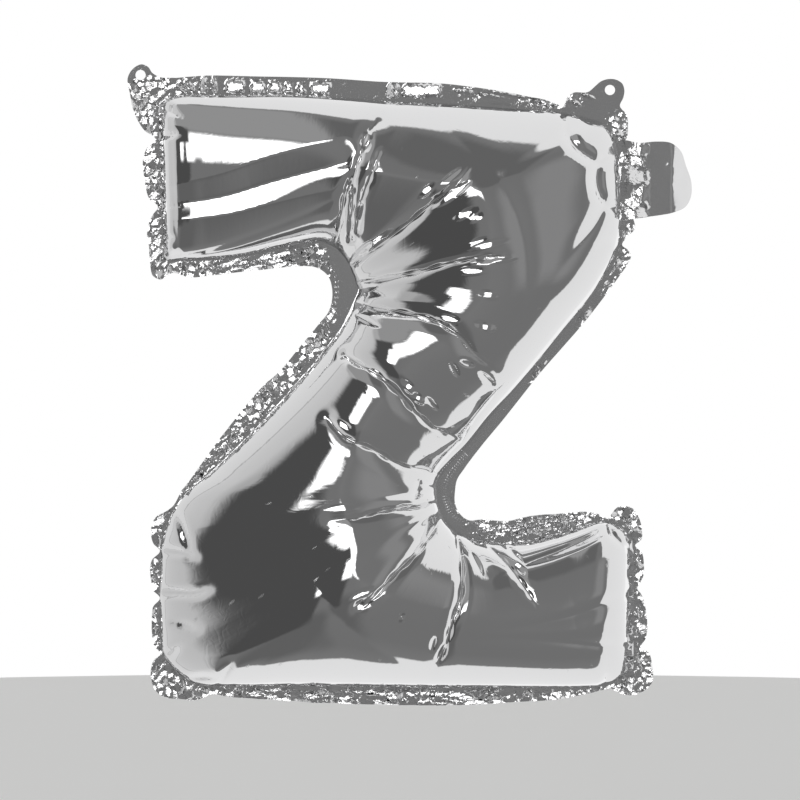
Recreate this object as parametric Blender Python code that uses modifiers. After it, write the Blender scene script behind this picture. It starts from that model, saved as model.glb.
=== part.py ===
"""Letter foil balloon: a silver letter Z, air-filled, with two hang ears and a filler neck.

The seam lies in the plane y = 0 and the front faces -Y. The origin is midway between the
centres of the two ears' holes. Lengths are in metres, and the tables are in millimetres.
"""

from math import atan2, cos, log2, pi, radians, sin

import bmesh
import bpy
from mathutils import Vector

MM = 0.001

# Film and clearances
BORDER_THICK = 0.8 * MM      # the two welded films, drawn thicker than the real 0.06 mm
LAYER_THICK = 0.5 * MM       # one film of the neck
GAP = 0.3 * MM               # between pieces that touch

# Hang ears at the two top corners
HOLE_RADIUS = 3.1 * MM
EAR_RADIUS = 6.8 * MM
SEAT_DROP = 5.8 * MM         # from the hole's centre down to the edge the ear grows from
SEAT_HALF = 7.5 * MM         # half the ear's width along that edge
EARS = {
    # name: (hole x mm, hole z mm, tilt of the seat in degrees)
    "hang_tab_left": (-131.8, 4.2, 19.0),
    "hang_tab_right": (131.8, -4.2, -6.0),
}

# Filler neck at the right, folding about the upright line where it leaves its gathered root
FOLD_X = 152.6 * MM
FOLD_Z = -54.5 * MM
NECK_START = 1.0 * MM        # from the fold line to the neck's own edge
ROOT_PAST_FOLD = 0.2 * MM    # the root ends just past the fold line
ROOT_SEAT_X = 144.7 * MM
ROOT_TOP = -34.0 * MM
ROOT_BOTTOM = -76.0 * MM
ROOT_PLEATS = 7
ROOT_PLEAT_HEIGHT = 1.5 * MM
ROOT_FLAT_FROM = 0.8         # share of the root's width where its pleats have died out
NECK_OUTLINE = [
    # x from the neck's own edge, z from the fold's middle, corner radius, all in mm,
    # anticlockwise from the lower inner corner
    (0.0, -21.1, 0.5), (14.9, -19.9, 7.0), (25.7, -11.5, 6.0), (19.2, 21.5, 7.0), (0.0, 20.9, 0.5),
]

# The blown-up letter, as sections across its stroke from the top left end to the lower right.
# Each joins the stroke's two seams, and most of them lie along a crease of the film.
SECTION_TABLE = [
    # outer x, outer z, other x, other z and crown height, all in mm, then the crown's place across
    # from the outer seam, and how cone-like the film is on the outer and the other side of it
    (-122.0, -13.0, -118.5, -99.5, 5.0, 0.50, 0.00, 0.00),
    (-118.5, -10.0, -115.5, -100.0, 12.0, 0.49, 0.00, 0.00),
    (-113.5, -8.0, -110.0, -100.0, 17.0, 0.48, 0.00, 0.00),
    (-106.5, -7.0, -103.5, -100.0, 19.5, 0.475, 0.00, 0.00),
    (-95.0, -7.0, -93.0, -99.5, 21.5, 0.475, 0.00, 0.05),
    (-81.5, -7.0, -80.5, -98.5, 23.5, 0.48, 0.00, 0.10),
    (-42.5, -7.0, -48.0, -92.5, 30.0, 0.49, 0.00, 0.20),
    (-17.0, -8.5, -32.0, -90.0, 33.5, 0.50, 0.05, 0.30),
    (9.5, -10.5, -23.0, -92.5, 35.5, 0.50, 0.25, 0.45),
    (36.5, -11.5, -18.0, -97.5, 37.0, 0.50, 0.45, 0.55),
    (70.0, -14.0, -15.5, -101.0, 38.5, 0.50, 0.55, 0.60),
    (118.5, -19.5, -14.0, -103.5, 40.0, 0.50, 0.50, 0.60),
    (129.5, -24.0, -13.0, -106.5, 41.0, 0.50, 0.40, 0.60),
    (137.0, -43.5, -11.5, -110.0, 42.0, 0.50, 0.25, 0.60),
    (138.5, -70.0, -11.0, -112.0, 42.0, 0.50, 0.15, 0.55),
    (136.5, -92.0, -10.0, -114.5, 41.0, 0.50, 0.05, 0.50),
    (126.0, -113.5, -10.0, -117.5, 40.0, 0.50, 0.00, 0.40),
    (104.0, -142.0, -11.5, -121.0, 39.0, 0.51, 0.00, 0.30),
    (77.0, -174.5, -13.0, -124.5, 38.5, 0.53, 0.00, 0.20),
    (64.5, -188.5, -16.0, -131.0, 38.0, 0.54, 0.00, 0.15),
    (52.0, -204.0, -20.5, -139.0, 37.5, 0.55, 0.05, 0.20),
    (43.0, -213.5, -30.0, -151.5, 37.5, 0.55, 0.10, 0.25),
    (36.5, -222.0, -50.0, -175.0, 37.0, 0.52, 0.20, 0.35),
    (35.0, -225.5, -63.5, -190.0, 37.0, 0.48, 0.30, 0.40),
    (35.0, -227.5, -90.0, -216.5, 38.0, 0.42, 0.40, 0.50),
    (35.0, -230.0, -109.5, -234.5, 38.5, 0.37, 0.45, 0.50),
    (35.0, -232.0, -118.0, -251.5, 39.5, 0.333, 0.40, 0.50),
    (35.5, -235.0, -120.5, -276.5, 41.0, 0.31, 0.35, 0.60),
    (36.0, -237.5, -120.5, -302.0, 43.0, 0.303, 0.35, 0.60),
    (36.5, -239.0, -118.0, -323.0, 45.0, 0.31, 0.35, 0.55),
    (37.0, -240.5, -104.0, -336.5, 46.5, 0.34, 0.40, 0.40),
    (38.0, -242.5, -79.0, -339.0, 47.5, 0.376, 0.45, 0.25),
    (39.0, -244.5, -50.5, -339.0, 47.0, 0.41, 0.45, 0.15),
    (42.0, -248.0, -8.5, -339.5, 44.5, 0.44, 0.40, 0.10),
    (46.0, -251.5, 33.0, -340.0, 41.0, 0.46, 0.30, 0.05),
    (52.0, -254.0, 59.0, -340.0, 38.0, 0.48, 0.20, 0.00),
    (60.0, -256.5, 84.0, -340.0, 36.0, 0.50, 0.10, 0.00),
    (81.5, -257.0, 101.0, -340.0, 34.0, 0.50, 0.00, 0.00),
    (104.0, -252.5, 115.0, -339.5, 31.5, 0.50, 0.00, 0.00),
    (128.5, -246.5, 128.5, -338.0, 27.0, 0.50, 0.00, 0.00),
    (138.5, -249.5, 137.5, -335.0, 18.5, 0.50, 0.00, 0.00),
    (145.0, -258.0, 145.0, -329.0, 5.0, 0.50, 0.00, 0.00),
]
LENGTHS_IN_ROW = 5           # the first columns are lengths, the others are shares
CONE_POWER = 1.25            # the film's section: 1 is a straight-sided cone, 2 a round one
SECTION_SPACING = 6.0        # mm between sections, measured midway across the stroke
SEAM_SPACING = 2.2           # mm, the least between two points of the border's inner edge
POINTS_ACROSS = 24           # spaces across one section
CREASE_LIMIT = 1.3           # above 1, so that a crease never reaches the seam plane

# Creases that the film takes where the stroke turns, each from the seam outwards, and the long
# troughs of its bars
CREASES = {
    # name: (depth at the start, the middle and the end, half width at the start and the end in mm,
    # how hollow its sides are, way in the seam plane in mm)
    "upper_fan_1": (3.5, 4, 1.5, 5, 11, 2, [(-23, -94), (-17, -66.5), (-9, -45), (1.5, -24.5)]),
    "upper_fan_2": (3, 2.8, 0.3, 4, 7, 2, [(-14, -102.5), (18.5, -80.5), (45, -60), (53, -49)]),
    "upper_fan_3": (3, 2.8, 0.3, 4, 6, 2, [(-9.5, -113), (24, -107.5), (59, -100), (78.5, -101)]),
    "upper_fan_4": (3.5, 4.5, 1.2, 5, 12, 2, [(-9.5, -124), (32, -134.5), (55.5, -153), (66.5, -161)]),
    "diagonal_1": (3.5, 5, 2, 7, 13, 2, [(-16.5, -153), (0.5, -163.5), (22.5, -185), (46.5, -199.5)]),
    "diagonal_2": (2, 4.2, 2, 8, 11, 2, [(-25.5, -188.5), (0.5, -206), (14.5, -214.5), (36.5, -221.5)]),
    "lower_fan_1": (3, 3, 0.8, 4, 7, 2, [(35, -233.5), (2, -239.5), (-23, -244)]),
    "lower_fan_2": (3, 3.2, 0.6, 4, 8, 2, [(37, -243.5), (10.5, -274), (-11, -294)]),
    "lower_fan_3": (3.5, 4, 1, 4, 10, 2, [(45.5, -253), (47.5, -285), (39, -313.5), (34, -327)]),
    "lower_fan_4": (2.5, 2.5, 0.2, 4, 8, 2, [(57.5, -256), (72.5, -268.5), (90.5, -293)]),
    "corner_top": (3.5, 4.5, 3.5, 6, 6, 2, [(105.5, -14.5), (107.5, -31), (118, -43), (130, -43)]),
    "corner_side": (3.5, 4.5, 3.5, 6, 6, 2, [(127.5, -44), (123, -57), (128, -69), (138, -70)]),
    "upper_bar": (4.5, 6, 4.5, 9, 14, 1.1, [(-121, -69.5), (-106, -68), (-59, -57.5), (-16, -48)]),
    "lower_bar_1": (2.6, 1.4, 0.2, 7, 14, 2, [(145.5, -286.5), (109.5, -297.5), (53, -305)]),
    "lower_bar_2": (2.6, 1.4, 0.4, 7, 10, 2, [(148.5, -318.5), (109.5, -312), (45, -311)]),
}

# Outer edge of the welded border, clockwise seen from the front. Between pinches it is lobed.
TOP_EDGE = [(-98.5, 3.5), (-28.0, 2.5), (40.5, -1.0), (87.0, -8.0), (107.0, -12.5), (113.5, -9.0)]
RIGHT_OF_EAR = [(139.5, -33.0)]
BELOW_NECK = [(139.0, -91.5)]
RIGHT_SLOPE = [
    (142.0, -98.5), (138.5, -106.5), (126.0, -122.5), (82.0, -176.0), (50.0, -216.5),
    (45.5, -226.0), (45.0, -235.5), (48.0, -243.0), (55.5, -245.5),
    (74.0, -246.0), (101.0, -242.5), (123.5, -242.0), (130.0, -244.5),
]
LOWER_RIGHT_PINCHES = [(146.0, -259.5), (147.0, -284.0), (150.0, -316.0), (132.5, -341.0)]
BOTTOM_EDGE = [(104.0, -346.0), (47.5, -349.5), (-25.5, -348.5), (-90.5, -344.0)]
LOWER_LEFT_PINCHES = [(-122.0, -322.0), (-122.5, -290.0), (-122.0, -263.0), (-117.0, -240.5)]
LEFT_SLOPE = [
    (-104.0, -223.0), (-67.0, -176.0), (-29.0, -132.0), (-24.5, -122.0), (-24.5, -114.5),
    (-28.0, -107.0), (-35.5, -103.5),
    (-70.5, -106.0), (-98.5, -108.5), (-115.5, -106.0),
]
UPPER_LEFT_PINCHES = [(-122.5, -70.0), (-123.5, -31.0)]
LOBE_BULGE = 0.22            # a lobe's height over its span
LOBE_STEPS = 6
CURVE_STEPS = 3

FOIL_COLOUR = (0.80, 0.80, 0.81, 1.0)
BORDER_COLOUR = (0.70, 0.70, 0.71, 1.0)
NECK_COLOUR = (0.62, 0.62, 0.63, 1.0)


def clear_scene():
    for item in list(bpy.data.objects):
        bpy.data.objects.remove(item, do_unlink=True)


def foil(name, colour, roughness):
    material = bpy.data.materials.new(name)
    material.use_nodes = True
    shader = material.node_tree.nodes["Principled BSDF"]
    shader.inputs["Base Color"].default_value = colour
    shader.inputs["Roughness"].default_value = roughness
    shader.inputs["Metallic"].default_value = 1.0
    return material


def catmull(before, start, end, after, t):
    """One point of a smooth curve that runs through its control values."""
    return 0.5 * (
        2 * start
        + (end - before) * t
        + (2 * before - 5 * start + 4 * end - after) * t * t
        + (3 * start - before - 3 * end + after) * t ** 3
    )


def lobe(start, end):
    """An arc that bulges to the left of the way from start to end, without its last point."""
    chord = end - start
    half = chord.length / 2
    rise = chord.length * LOBE_BULGE
    radius = (half * half + rise * rise) / (2 * rise)
    outward = Vector((-chord.y, chord.x)).normalized()
    centre = (start + end) / 2 + outward * (rise - radius)
    first = atan2(start.y - centre.y, start.x - centre.x)
    sweep = -2 * atan2(half, radius - rise)
    return [
        centre + radius * Vector((cos(first + sweep * i / LOBE_STEPS), sin(first + sweep * i / LOBE_STEPS)))
        for i in range(LOBE_STEPS)
    ]


def ear_seat(name, along, clearance=0.0):
    """A point of the straight edge that an ear grows from, that far along it."""
    x, z, tilt = EARS[name]
    a = radians(tilt)
    drop = SEAT_DROP + clearance
    return Vector((
        x * MM + drop * sin(a) + along * cos(a),
        z * MM - drop * cos(a) + along * sin(a),
    ))


def points(table):
    return [Vector((x * MM, z * MM)) for x, z in table]


def curved(way):
    """A smooth run through its points, without the last one."""
    run = []
    last = len(way) - 1
    for i in range(last):
        four = [way[max(i - 1, 0)], way[i], way[i + 1], way[min(i + 2, last)]]
        for step in range(CURVE_STEPS):
            run.append(catmull(*four, step / CURVE_STEPS))
    return run


def lobed(pinches):
    """Lobes through a row of pinches, without the last pinch."""
    return [p for a, b in zip(pinches, pinches[1:]) for p in lobe(a, b)]


def border_outline():
    left_seat = [ear_seat("hang_tab_left", s * SEAT_HALF, GAP) for s in (-1, 1)]
    right_seat = [ear_seat("hang_tab_right", s * SEAT_HALF, GAP) for s in (-1, 1)]
    root_seat = [Vector((ROOT_SEAT_X, z)) for z in (ROOT_TOP, ROOT_BOTTOM)]
    top, slope, bottom, left = [
        points(table) for table in (TOP_EDGE, RIGHT_SLOPE, BOTTOM_EDGE, LEFT_SLOPE)
    ]
    right_corner, under_neck, lower_right, lower_left, upper_left = [
        points(table) for table in (
            RIGHT_OF_EAR, BELOW_NECK, LOWER_RIGHT_PINCHES, LOWER_LEFT_PINCHES, UPPER_LEFT_PINCHES,
        )
    ]
    return (
        left_seat[:1]
        + curved(left_seat[1:] + top + right_seat[:1])
        + right_seat[:1]
        + lobed(right_seat[1:] + right_corner)
        + right_corner
        + root_seat[:1]
        + lobed(root_seat[1:] + under_neck)
        + curved(under_neck + slope)
        + lobed(slope[-1:] + lower_right)
        + curved(lower_right[-1:] + bottom)
        + lobed(bottom[-1:] + lower_left)
        + curved(lower_left[-1:] + left)
        + lobed(left[-1:] + upper_left + left_seat[:1])
    )


def between(before, start, end, after, t):
    """Like catmull, but never past its two ends, for rows that are unevenly spaced."""
    return min(max(catmull(before, start, end, after, t), min(start, end)), max(start, end))


def sections():
    """The table's rows with more made between them, their lengths in metres."""
    rows = [
        [value * MM for value in row[:LENGTHS_IN_ROW]] + list(row[LENGTHS_IN_ROW:])
        for row in SECTION_TABLE
    ]
    last = len(rows) - 1
    made = []
    for i in range(last):
        four = [rows[max(i - 1, 0)], rows[i], rows[i + 1], rows[min(i + 2, last)]]
        here, there = four[1], four[2]
        middle = [(there[k] + there[k + 2] - here[k] - here[k + 2]) / 2 for k in (0, 1)]
        steps = max(1, round(Vector(middle).length / (SECTION_SPACING * MM)))
        for step in range(steps):
            made.append([between(*values, step / steps) for values in zip(*four)])
    made.append(rows[last])
    return made


def crease_depth(place):
    """How far the creases press the film in at a place in the seam plane."""
    cubes = 0.0              # where creases meet, the deepest one counts most
    for at_start, at_middle, at_end, near_width, far_width, hollow, way in CREASES.values():
        way = points(way)
        lengths = [(b - a).length for a, b in zip(way, way[1:])]
        nearest = None
        passed = 0.0
        for a, b, length in zip(way, way[1:], lengths):
            share = min(max((place - a).dot(b - a) / length ** 2, 0.0), 1.0)
            distance = (place - a.lerp(b, share)).length
            if nearest is None or distance < nearest:
                nearest = distance
                t = (passed + share * length) / sum(lengths)
            passed += length
        if t < 0.5:
            depth = at_start + (at_middle - at_start) * 2 * t
        else:
            depth = at_middle + (at_end - at_middle) * (2 * t - 1)
        width = (near_width + (far_width - near_width) * t) * MM
        cubes += (depth * MM * max(1 - nearest / width, 0.0) ** hollow) ** 3
    return cubes ** (1 / 3)


def seam_loop():
    """The blown-up letter's edge in the seam plane, anticlockwise seen from the front."""
    made = sections()
    other = [Vector((row[2], row[3])) for row in made]
    outer = [Vector((row[0], row[1])) for row in made]
    loop = []
    for place in other + outer[::-1]:
        if not loop or (place - loop[-1]).length > SEAM_SPACING * MM:
            loop.append(place)
    return loop


def widened(loop, distance):
    """An anticlockwise loop pushed outwards by a distance."""
    pushed = []
    for i, here in enumerate(loop):
        before = (here - loop[i - 1]).normalized()
        after = (loop[(i + 1) % len(loop)] - here).normalized()
        normal = Vector((before.y + after.y, -before.x - after.x)).normalized()
        pushed.append(here + normal * distance / max(normal.dot(Vector((before.y, -before.x))), 0.5))
    return pushed


def plate(name, loops, thickness, material, parent=None, origin=(0.0, 0.0, 0.0)):
    """A flat plate standing in the X-Z plane. Loops after the first are holes."""
    curve = bpy.data.curves.new(name, "CURVE")
    curve.dimensions = "2D"
    curve.fill_mode = "BOTH"
    curve.extrude = thickness / 2
    for loop in loops:
        spline = curve.splines.new("POLY")
        spline.points.add(len(loop) - 1)
        for point, place in zip(spline.points, loop):
            point.co = (place.x, place.y, 0.0, 1.0)
        spline.use_cyclic_u = True
    piece = bpy.data.objects.new(name, curve)
    parts.objects.link(piece)
    curve.materials.append(material)
    piece.rotation_euler = (pi / 2, 0.0, 0.0)
    piece.location = origin
    piece.parent = parent
    return piece


def panel(name, side, material):
    """Half of the blown-up letter: side -1 is the front, +1 the back."""
    body = bmesh.new()
    rows = []
    for outer_x, outer_z, other_x, other_z, crown, place, outer_cone, other_cone in sections():
        row = []
        for j in range(POINTS_ACROSS + 1):
            s = sin(pi / 2 * (2 * j / POINTS_ACROSS - 1))
            share = outer_cone if s < 0 else other_cone
            cone = 1 - abs(s) ** CONE_POWER
            round_height = max(1 - s * s, 0.0) ** 0.5
            height = crown * (share * cone + (1 - share) * round_height)
            across = ((s + 1) / 2) ** -log2(place)
            x = outer_x + (other_x - outer_x) * across
            z = outer_z + (other_z - outer_z) * across
            press = crease_depth(Vector((x, z)))
            if press > 0:
                height -= press * height / (height + CREASE_LIMIT * press)
            row.append(body.verts.new((x, side * (GAP / 2 + height), z)))
        rows.append(row)
    for near, far in zip(rows, rows[1:]):
        for j in range(POINTS_ACROSS):
            body.faces.new((near[j], near[j + 1], far[j + 1], far[j]))
    body.faces.new(rows[0])
    body.faces.new(rows[-1])
    edge = [row[-1] for row in rows] + [row[0] for row in reversed(rows)]
    body.faces.new(edge)
    bmesh.ops.recalc_face_normals(body, faces=body.faces)
    mesh = bpy.data.meshes.new(name)
    body.to_mesh(mesh)
    body.free()
    mesh.shade_smooth()
    mesh.set_sharp_from_angle(angle=radians(40))
    mesh.materials.append(material)
    piece = bpy.data.objects.new(name, mesh)
    parts.objects.link(piece)
    return piece


def circle(x, z, radius, steps):
    return [Vector((x + radius * cos(2 * pi * i / steps), z + radius * sin(2 * pi * i / steps)))
            for i in range(steps)]


def hang_ear(name, material):
    """A rounded ear on the border's edge, with a hole to hang it by."""
    x, z, tilt = EARS[name]
    steps = 20
    sweep_from = tilt - 25
    sweep_to = tilt + 205
    rim = []
    for i in range(steps + 1):
        a = radians(sweep_from + (sweep_to - sweep_from) * i / steps)
        rim.append(Vector((x * MM + EAR_RADIUS * cos(a), z * MM + EAR_RADIUS * sin(a))))
    rim.append(ear_seat(name, -SEAT_HALF))
    rim.append(ear_seat(name, SEAT_HALF))
    return plate(name, [rim, circle(x * MM, z * MM, HOLE_RADIUS, 24)], BORDER_THICK, material)


def rounded(corners):
    """A loop of straight edges with an arc of its own radius at each corner."""
    steps = 6
    loop = []
    for i, (x, z, radius) in enumerate(corners):
        here = Vector((x * MM, z * MM))
        before = Vector(corners[i - 1][:2]) * MM
        after = Vector(corners[(i + 1) % len(corners)][:2]) * MM
        way_in = (before - here).normalized()
        way_out = (after - here).normalized()
        half_angle = way_in.angle(way_out) / 2
        reach = radius * MM / (sin(half_angle) / cos(half_angle))
        start = here + way_in * reach
        end = here + way_out * reach
        for k in range(steps + 1):
            t = k / steps
            loop.append(start * (1 - t) ** 2 + here * 2 * t * (1 - t) + end * t * t)
    return loop


def gathered_root(material):
    """The neck's crumpled root: a pleated film between the border and the fold line."""
    start = ROOT_SEAT_X + GAP
    width = FOLD_X + ROOT_PAST_FOLD - start
    height = ROOT_TOP - ROOT_BOTTOM
    along, up = 6, ROOT_PLEATS * 4
    bpy.ops.mesh.primitive_grid_add(x_subdivisions=along, y_subdivisions=up, size=1.0)
    piece = bpy.context.object
    piece.name = "neck_root"
    piece.data.name = "neck_root"
    for vertex in piece.data.vertices:
        u = vertex.co.x + 0.5
        v = vertex.co.y + 0.5
        fade = sin(pi * min(u / ROOT_FLAT_FROM, 1.0))
        pleat = sin(2 * pi * ROOT_PLEATS * v) * fade * ROOT_PLEAT_HEIGHT
        vertex.co = (start + u * width, pleat, ROOT_BOTTOM + v * height)
    wall = piece.modifiers.new("wall", "SOLIDIFY")
    wall.thickness = BORDER_THICK
    wall.offset = 0.0
    piece.data.materials.append(material)
    for owner in list(piece.users_collection):
        owner.objects.unlink(piece)
    parts.objects.link(piece)
    return piece


def filler_neck(material):
    """Two flat films on one fold line, open at their far end."""
    fold = bpy.data.objects.new("neck_fold", None)
    fold.location = (FOLD_X, 0.0, FOLD_Z)
    parts.objects.link(fold)
    loop = [p + Vector((NECK_START, 0.0)) for p in rounded(NECK_OUTLINE)]
    away = (GAP + LAYER_THICK) / 2
    plate("neck_front", [loop], LAYER_THICK, material, fold, (0.0, -away, 0.0))
    plate("neck_back", [loop], LAYER_THICK, material, fold, (0.0, away, 0.0))


clear_scene()
parts = bpy.data.collections.new("letter_foil_balloon")
bpy.context.scene.collection.children.link(parts)

panel_foil = foil("panel_foil", FOIL_COLOUR, 0.08)
border_foil = foil("border_foil", BORDER_COLOUR, 0.15)
neck_foil = foil("neck_foil", NECK_COLOUR, 0.12)

panel("front_panel", -1, panel_foil)
panel("back_panel", 1, panel_foil)
plate("seam_border", [border_outline(), widened(seam_loop(), GAP)], BORDER_THICK, border_foil)
for ear_name in EARS:
    hang_ear(ear_name, border_foil)
gathered_root(neck_foil)
filler_neck(neck_foil)
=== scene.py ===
import math

import bmesh
import bpy
import numpy as np
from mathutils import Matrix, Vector, geometry, noise


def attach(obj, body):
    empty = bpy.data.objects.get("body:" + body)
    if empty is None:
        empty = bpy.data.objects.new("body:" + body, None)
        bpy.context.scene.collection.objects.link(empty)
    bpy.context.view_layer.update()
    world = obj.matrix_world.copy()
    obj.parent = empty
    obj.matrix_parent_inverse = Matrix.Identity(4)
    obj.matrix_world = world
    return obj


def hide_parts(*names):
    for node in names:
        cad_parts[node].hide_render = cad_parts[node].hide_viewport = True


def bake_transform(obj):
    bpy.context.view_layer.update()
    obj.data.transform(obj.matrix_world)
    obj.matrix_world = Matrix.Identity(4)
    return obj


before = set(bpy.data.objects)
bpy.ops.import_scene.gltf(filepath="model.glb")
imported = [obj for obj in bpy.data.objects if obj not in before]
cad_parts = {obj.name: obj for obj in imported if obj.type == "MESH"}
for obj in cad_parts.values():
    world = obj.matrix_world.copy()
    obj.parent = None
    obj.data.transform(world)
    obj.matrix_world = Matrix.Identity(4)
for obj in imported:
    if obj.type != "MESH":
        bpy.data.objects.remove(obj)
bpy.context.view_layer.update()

mm = 0.001
print("frame loaded")


def meshFrom(name, coords, faces, merge=0.0):
    # a mesh whose faces point outwards, with its doubles merged if a distance is given
    mesh = bpy.data.meshes.new(name)
    mesh.from_pydata(coords, [], faces)
    body = bmesh.new()
    body.from_mesh(mesh)
    if merge:
        bmesh.ops.remove_doubles(body, verts=body.verts, dist=merge)
    bmesh.ops.recalc_face_normals(body, faces=body.faces)
    body.to_mesh(mesh)
    body.free()
    return mesh


def inScene(name, data):
    # a new object, linked into the scene
    made = bpy.data.objects.new(name, data)
    bpy.context.scene.collection.objects.link(made)
    return made


def evaluatedMesh(piece):
    # the mesh that the piece's modifiers make
    return bpy.data.meshes.new_from_object(piece.evaluated_get(bpy.context.evaluated_depsgraph_get()))


def setCrumple(mesh, amount):
    # how crumpled the foil is at each point, for its material to read
    mesh.attributes.new("crumple", "FLOAT", "POINT").data.foreach_set("value", amount)


def share(value, start, end):
    # 0 before the start, 1 past the end and straight in between
    return min(max((value - start) / (end - start), 0), 1)


def feed(tree, socket, value):
    # a number goes into the socket itself, and another node's output is linked to it
    if isinstance(value, (int, float)):
        socket.default_value = value
    else:
        tree.links.new(value, socket)


def placed(tree, kind, **inputs):
    # a new node with the inputs that are named, with _ for a space
    node = tree.nodes.new(kind)
    for name, value in inputs.items():
        feed(tree, node.inputs[name.replace("_", " ")], value)
    return node


def mathNode(tree, kind, *values):
    node = tree.nodes.new("ShaderNodeMath")
    node.operation = kind
    for socket, value in zip(node.inputs, values):
        feed(tree, socket, value)
    return node.outputs[0]


# The blown-up letter, as sections across its stroke from the top left end to the lower right.
# Each joins the stroke's two seams, and most of them lie along a crease of the film.
sectionTable = [
    # outer x, outer z, other x, other z, crown height in mm, then the crown's place across (from
    # the outer seam), and how cone-like the film is on the outer and the other side of it
    (-122, -13, -118.5, -99.5, 0, 0.5, 0, 0),
    (-118.5, -10, -115.5, -100, 11.5, 0.49, 0, 0),
    (-113.5, -8, -110, -100, 17, 0.48, 0, 0),
    (-106.5, -7, -103.5, -100, 19.5, 0.475, 0, 0),
    (-95, -7, -93, -99.5, 21.5, 0.475, 0, 0.05),
    (-81.5, -7, -80.5, -98.5, 23.7, 0.48, 0, 0.1),
    (-42.5, -7, -48, -92.5, 30, 0.49, 0, 0.2),
    (-17, -8.5, -32, -90, 33.4, 0.5, 0.05, 0.3),
    (9.5, -10.5, -23, -92.5, 36.4, 0.5, 0.25, 0.45),
    (36.5, -11.5, -18, -97.5, 37, 0.5, 0.45, 0.55),
    (70, -14, -15.5, -101, 37.9, 0.5, 0.55, 0.6),
    (118.5, -19.5, -14, -103.5, 39.4, 0.5, 0.5, 0.6),
    (129.5, -24, -13, -106.5, 41, 0.5, 0.4, 0.6),
    (137, -43.5, -11.5, -110, 42, 0.5, 0.25, 0.6),
    (138.5, -70, -11, -112, 42, 0.5, 0.15, 0.55),
    (136.5, -92, -10, -114.5, 41, 0.5, 0.05, 0.5),
    (126, -113.5, -10, -117.5, 40, 0.46, 0, 0.4),
    (104, -142, -11.5, -121, 39, 0.46, 0, 0.3),
    (77, -174.5, -13, -124.5, 38.5, 0.49, 0, 0.2),
    (64.5, -188.5, -16, -131, 38, 0.54, 0, 0.15),
    (52, -204, -20.5, -139, 37.5, 0.55, 0.05, 0.2),
    (43, -213.5, -30, -151.5, 37.3, 0.55, 0.1, 0.25),
    (36.5, -222, -50, -175, 37, 0.52, 0.2, 0.35),
    (35, -225.5, -63.5, -190, 37.2, 0.48, 0.3, 0.4),
    (35, -227.5, -90, -216.5, 38, 0.42, 0.4, 0.5),
    (35, -230, -109.5, -234.5, 38.5, 0.37, 0.45, 0.55),
    (35, -232, -118, -251.5, 39.5, 0.333, 0.40, 0.50),
    (35.5, -235, -120.5, -276.5, 41, 0.31, 0.35, 0.60),
    (36, -237.5, -120.5, -302, 43, 0.303, 0.35, 0.60),
    (36.5, -239, -118, -323, 45, 0.31, 0.35, 0.55),
    (37, -240.5, -104, -336.5, 46.5, 0.34, 0.40, 0.40),
    (38, -242.5, -79, -339, 47.5, 0.376, 0.45, 0.25),
    (39, -244.5, -50.5, -339, 47, 0.41, 0.45, 0.15),
    (42, -248, -8.5, -339.5, 44.5, 0.44, 0.4, 0.1),
    (46, -251.5, 33, -340, 41, 0.46, 0.3, 0.05),
    (52, -254, 59, -340, 38, 0.48, 0.2, 0),
    (60, -256.5, 84, -340, 36, 0.5, 0.1, 0),
    (81.5, -257, 101, -340, 34, 0.5, 0, 0),
    (104, -252.5, 115, -339.5, 31.5, 0.5, 0, 0),
    (128.5, -246.5, 128.5, -338, 27, 0.5, 0, 0),
    (138.5, -249.5, 137.5, -335, 18, 0.5, 0, 0),
    (145, -258, 145, -329, 0, 0.5, 0, 0),
]

# What a user would change about the blown-up films
filmSettings = {
    "stations": 880,         # rows of the grid along the stroke
    "across": 108,           # spaces of the grid across it
    "profilePoints": 240,    # points of a section before they are spaced evenly
    "conePower": 1.25,       # 1 is a straight-sided cone, 2 a round one
    "seamGap": 0.15,         # mm from the seam plane to each film
    "valleyRound": 0.5,      # mm, the radius at the bottom of a crease
    "valleyDepth": 1.0,      # scales every crease
    "puckerDepth": 1.0,      # scales every lens-shaped pucker
    "pressLimit": 1.3,       # keeps a crease from pressing through to the seam plane
    "sharpAngle": 80,        # degrees, flatter edges are shaded smooth
    "mapWidth": 0.012,       # metres of the surface map across the stroke
}

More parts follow.
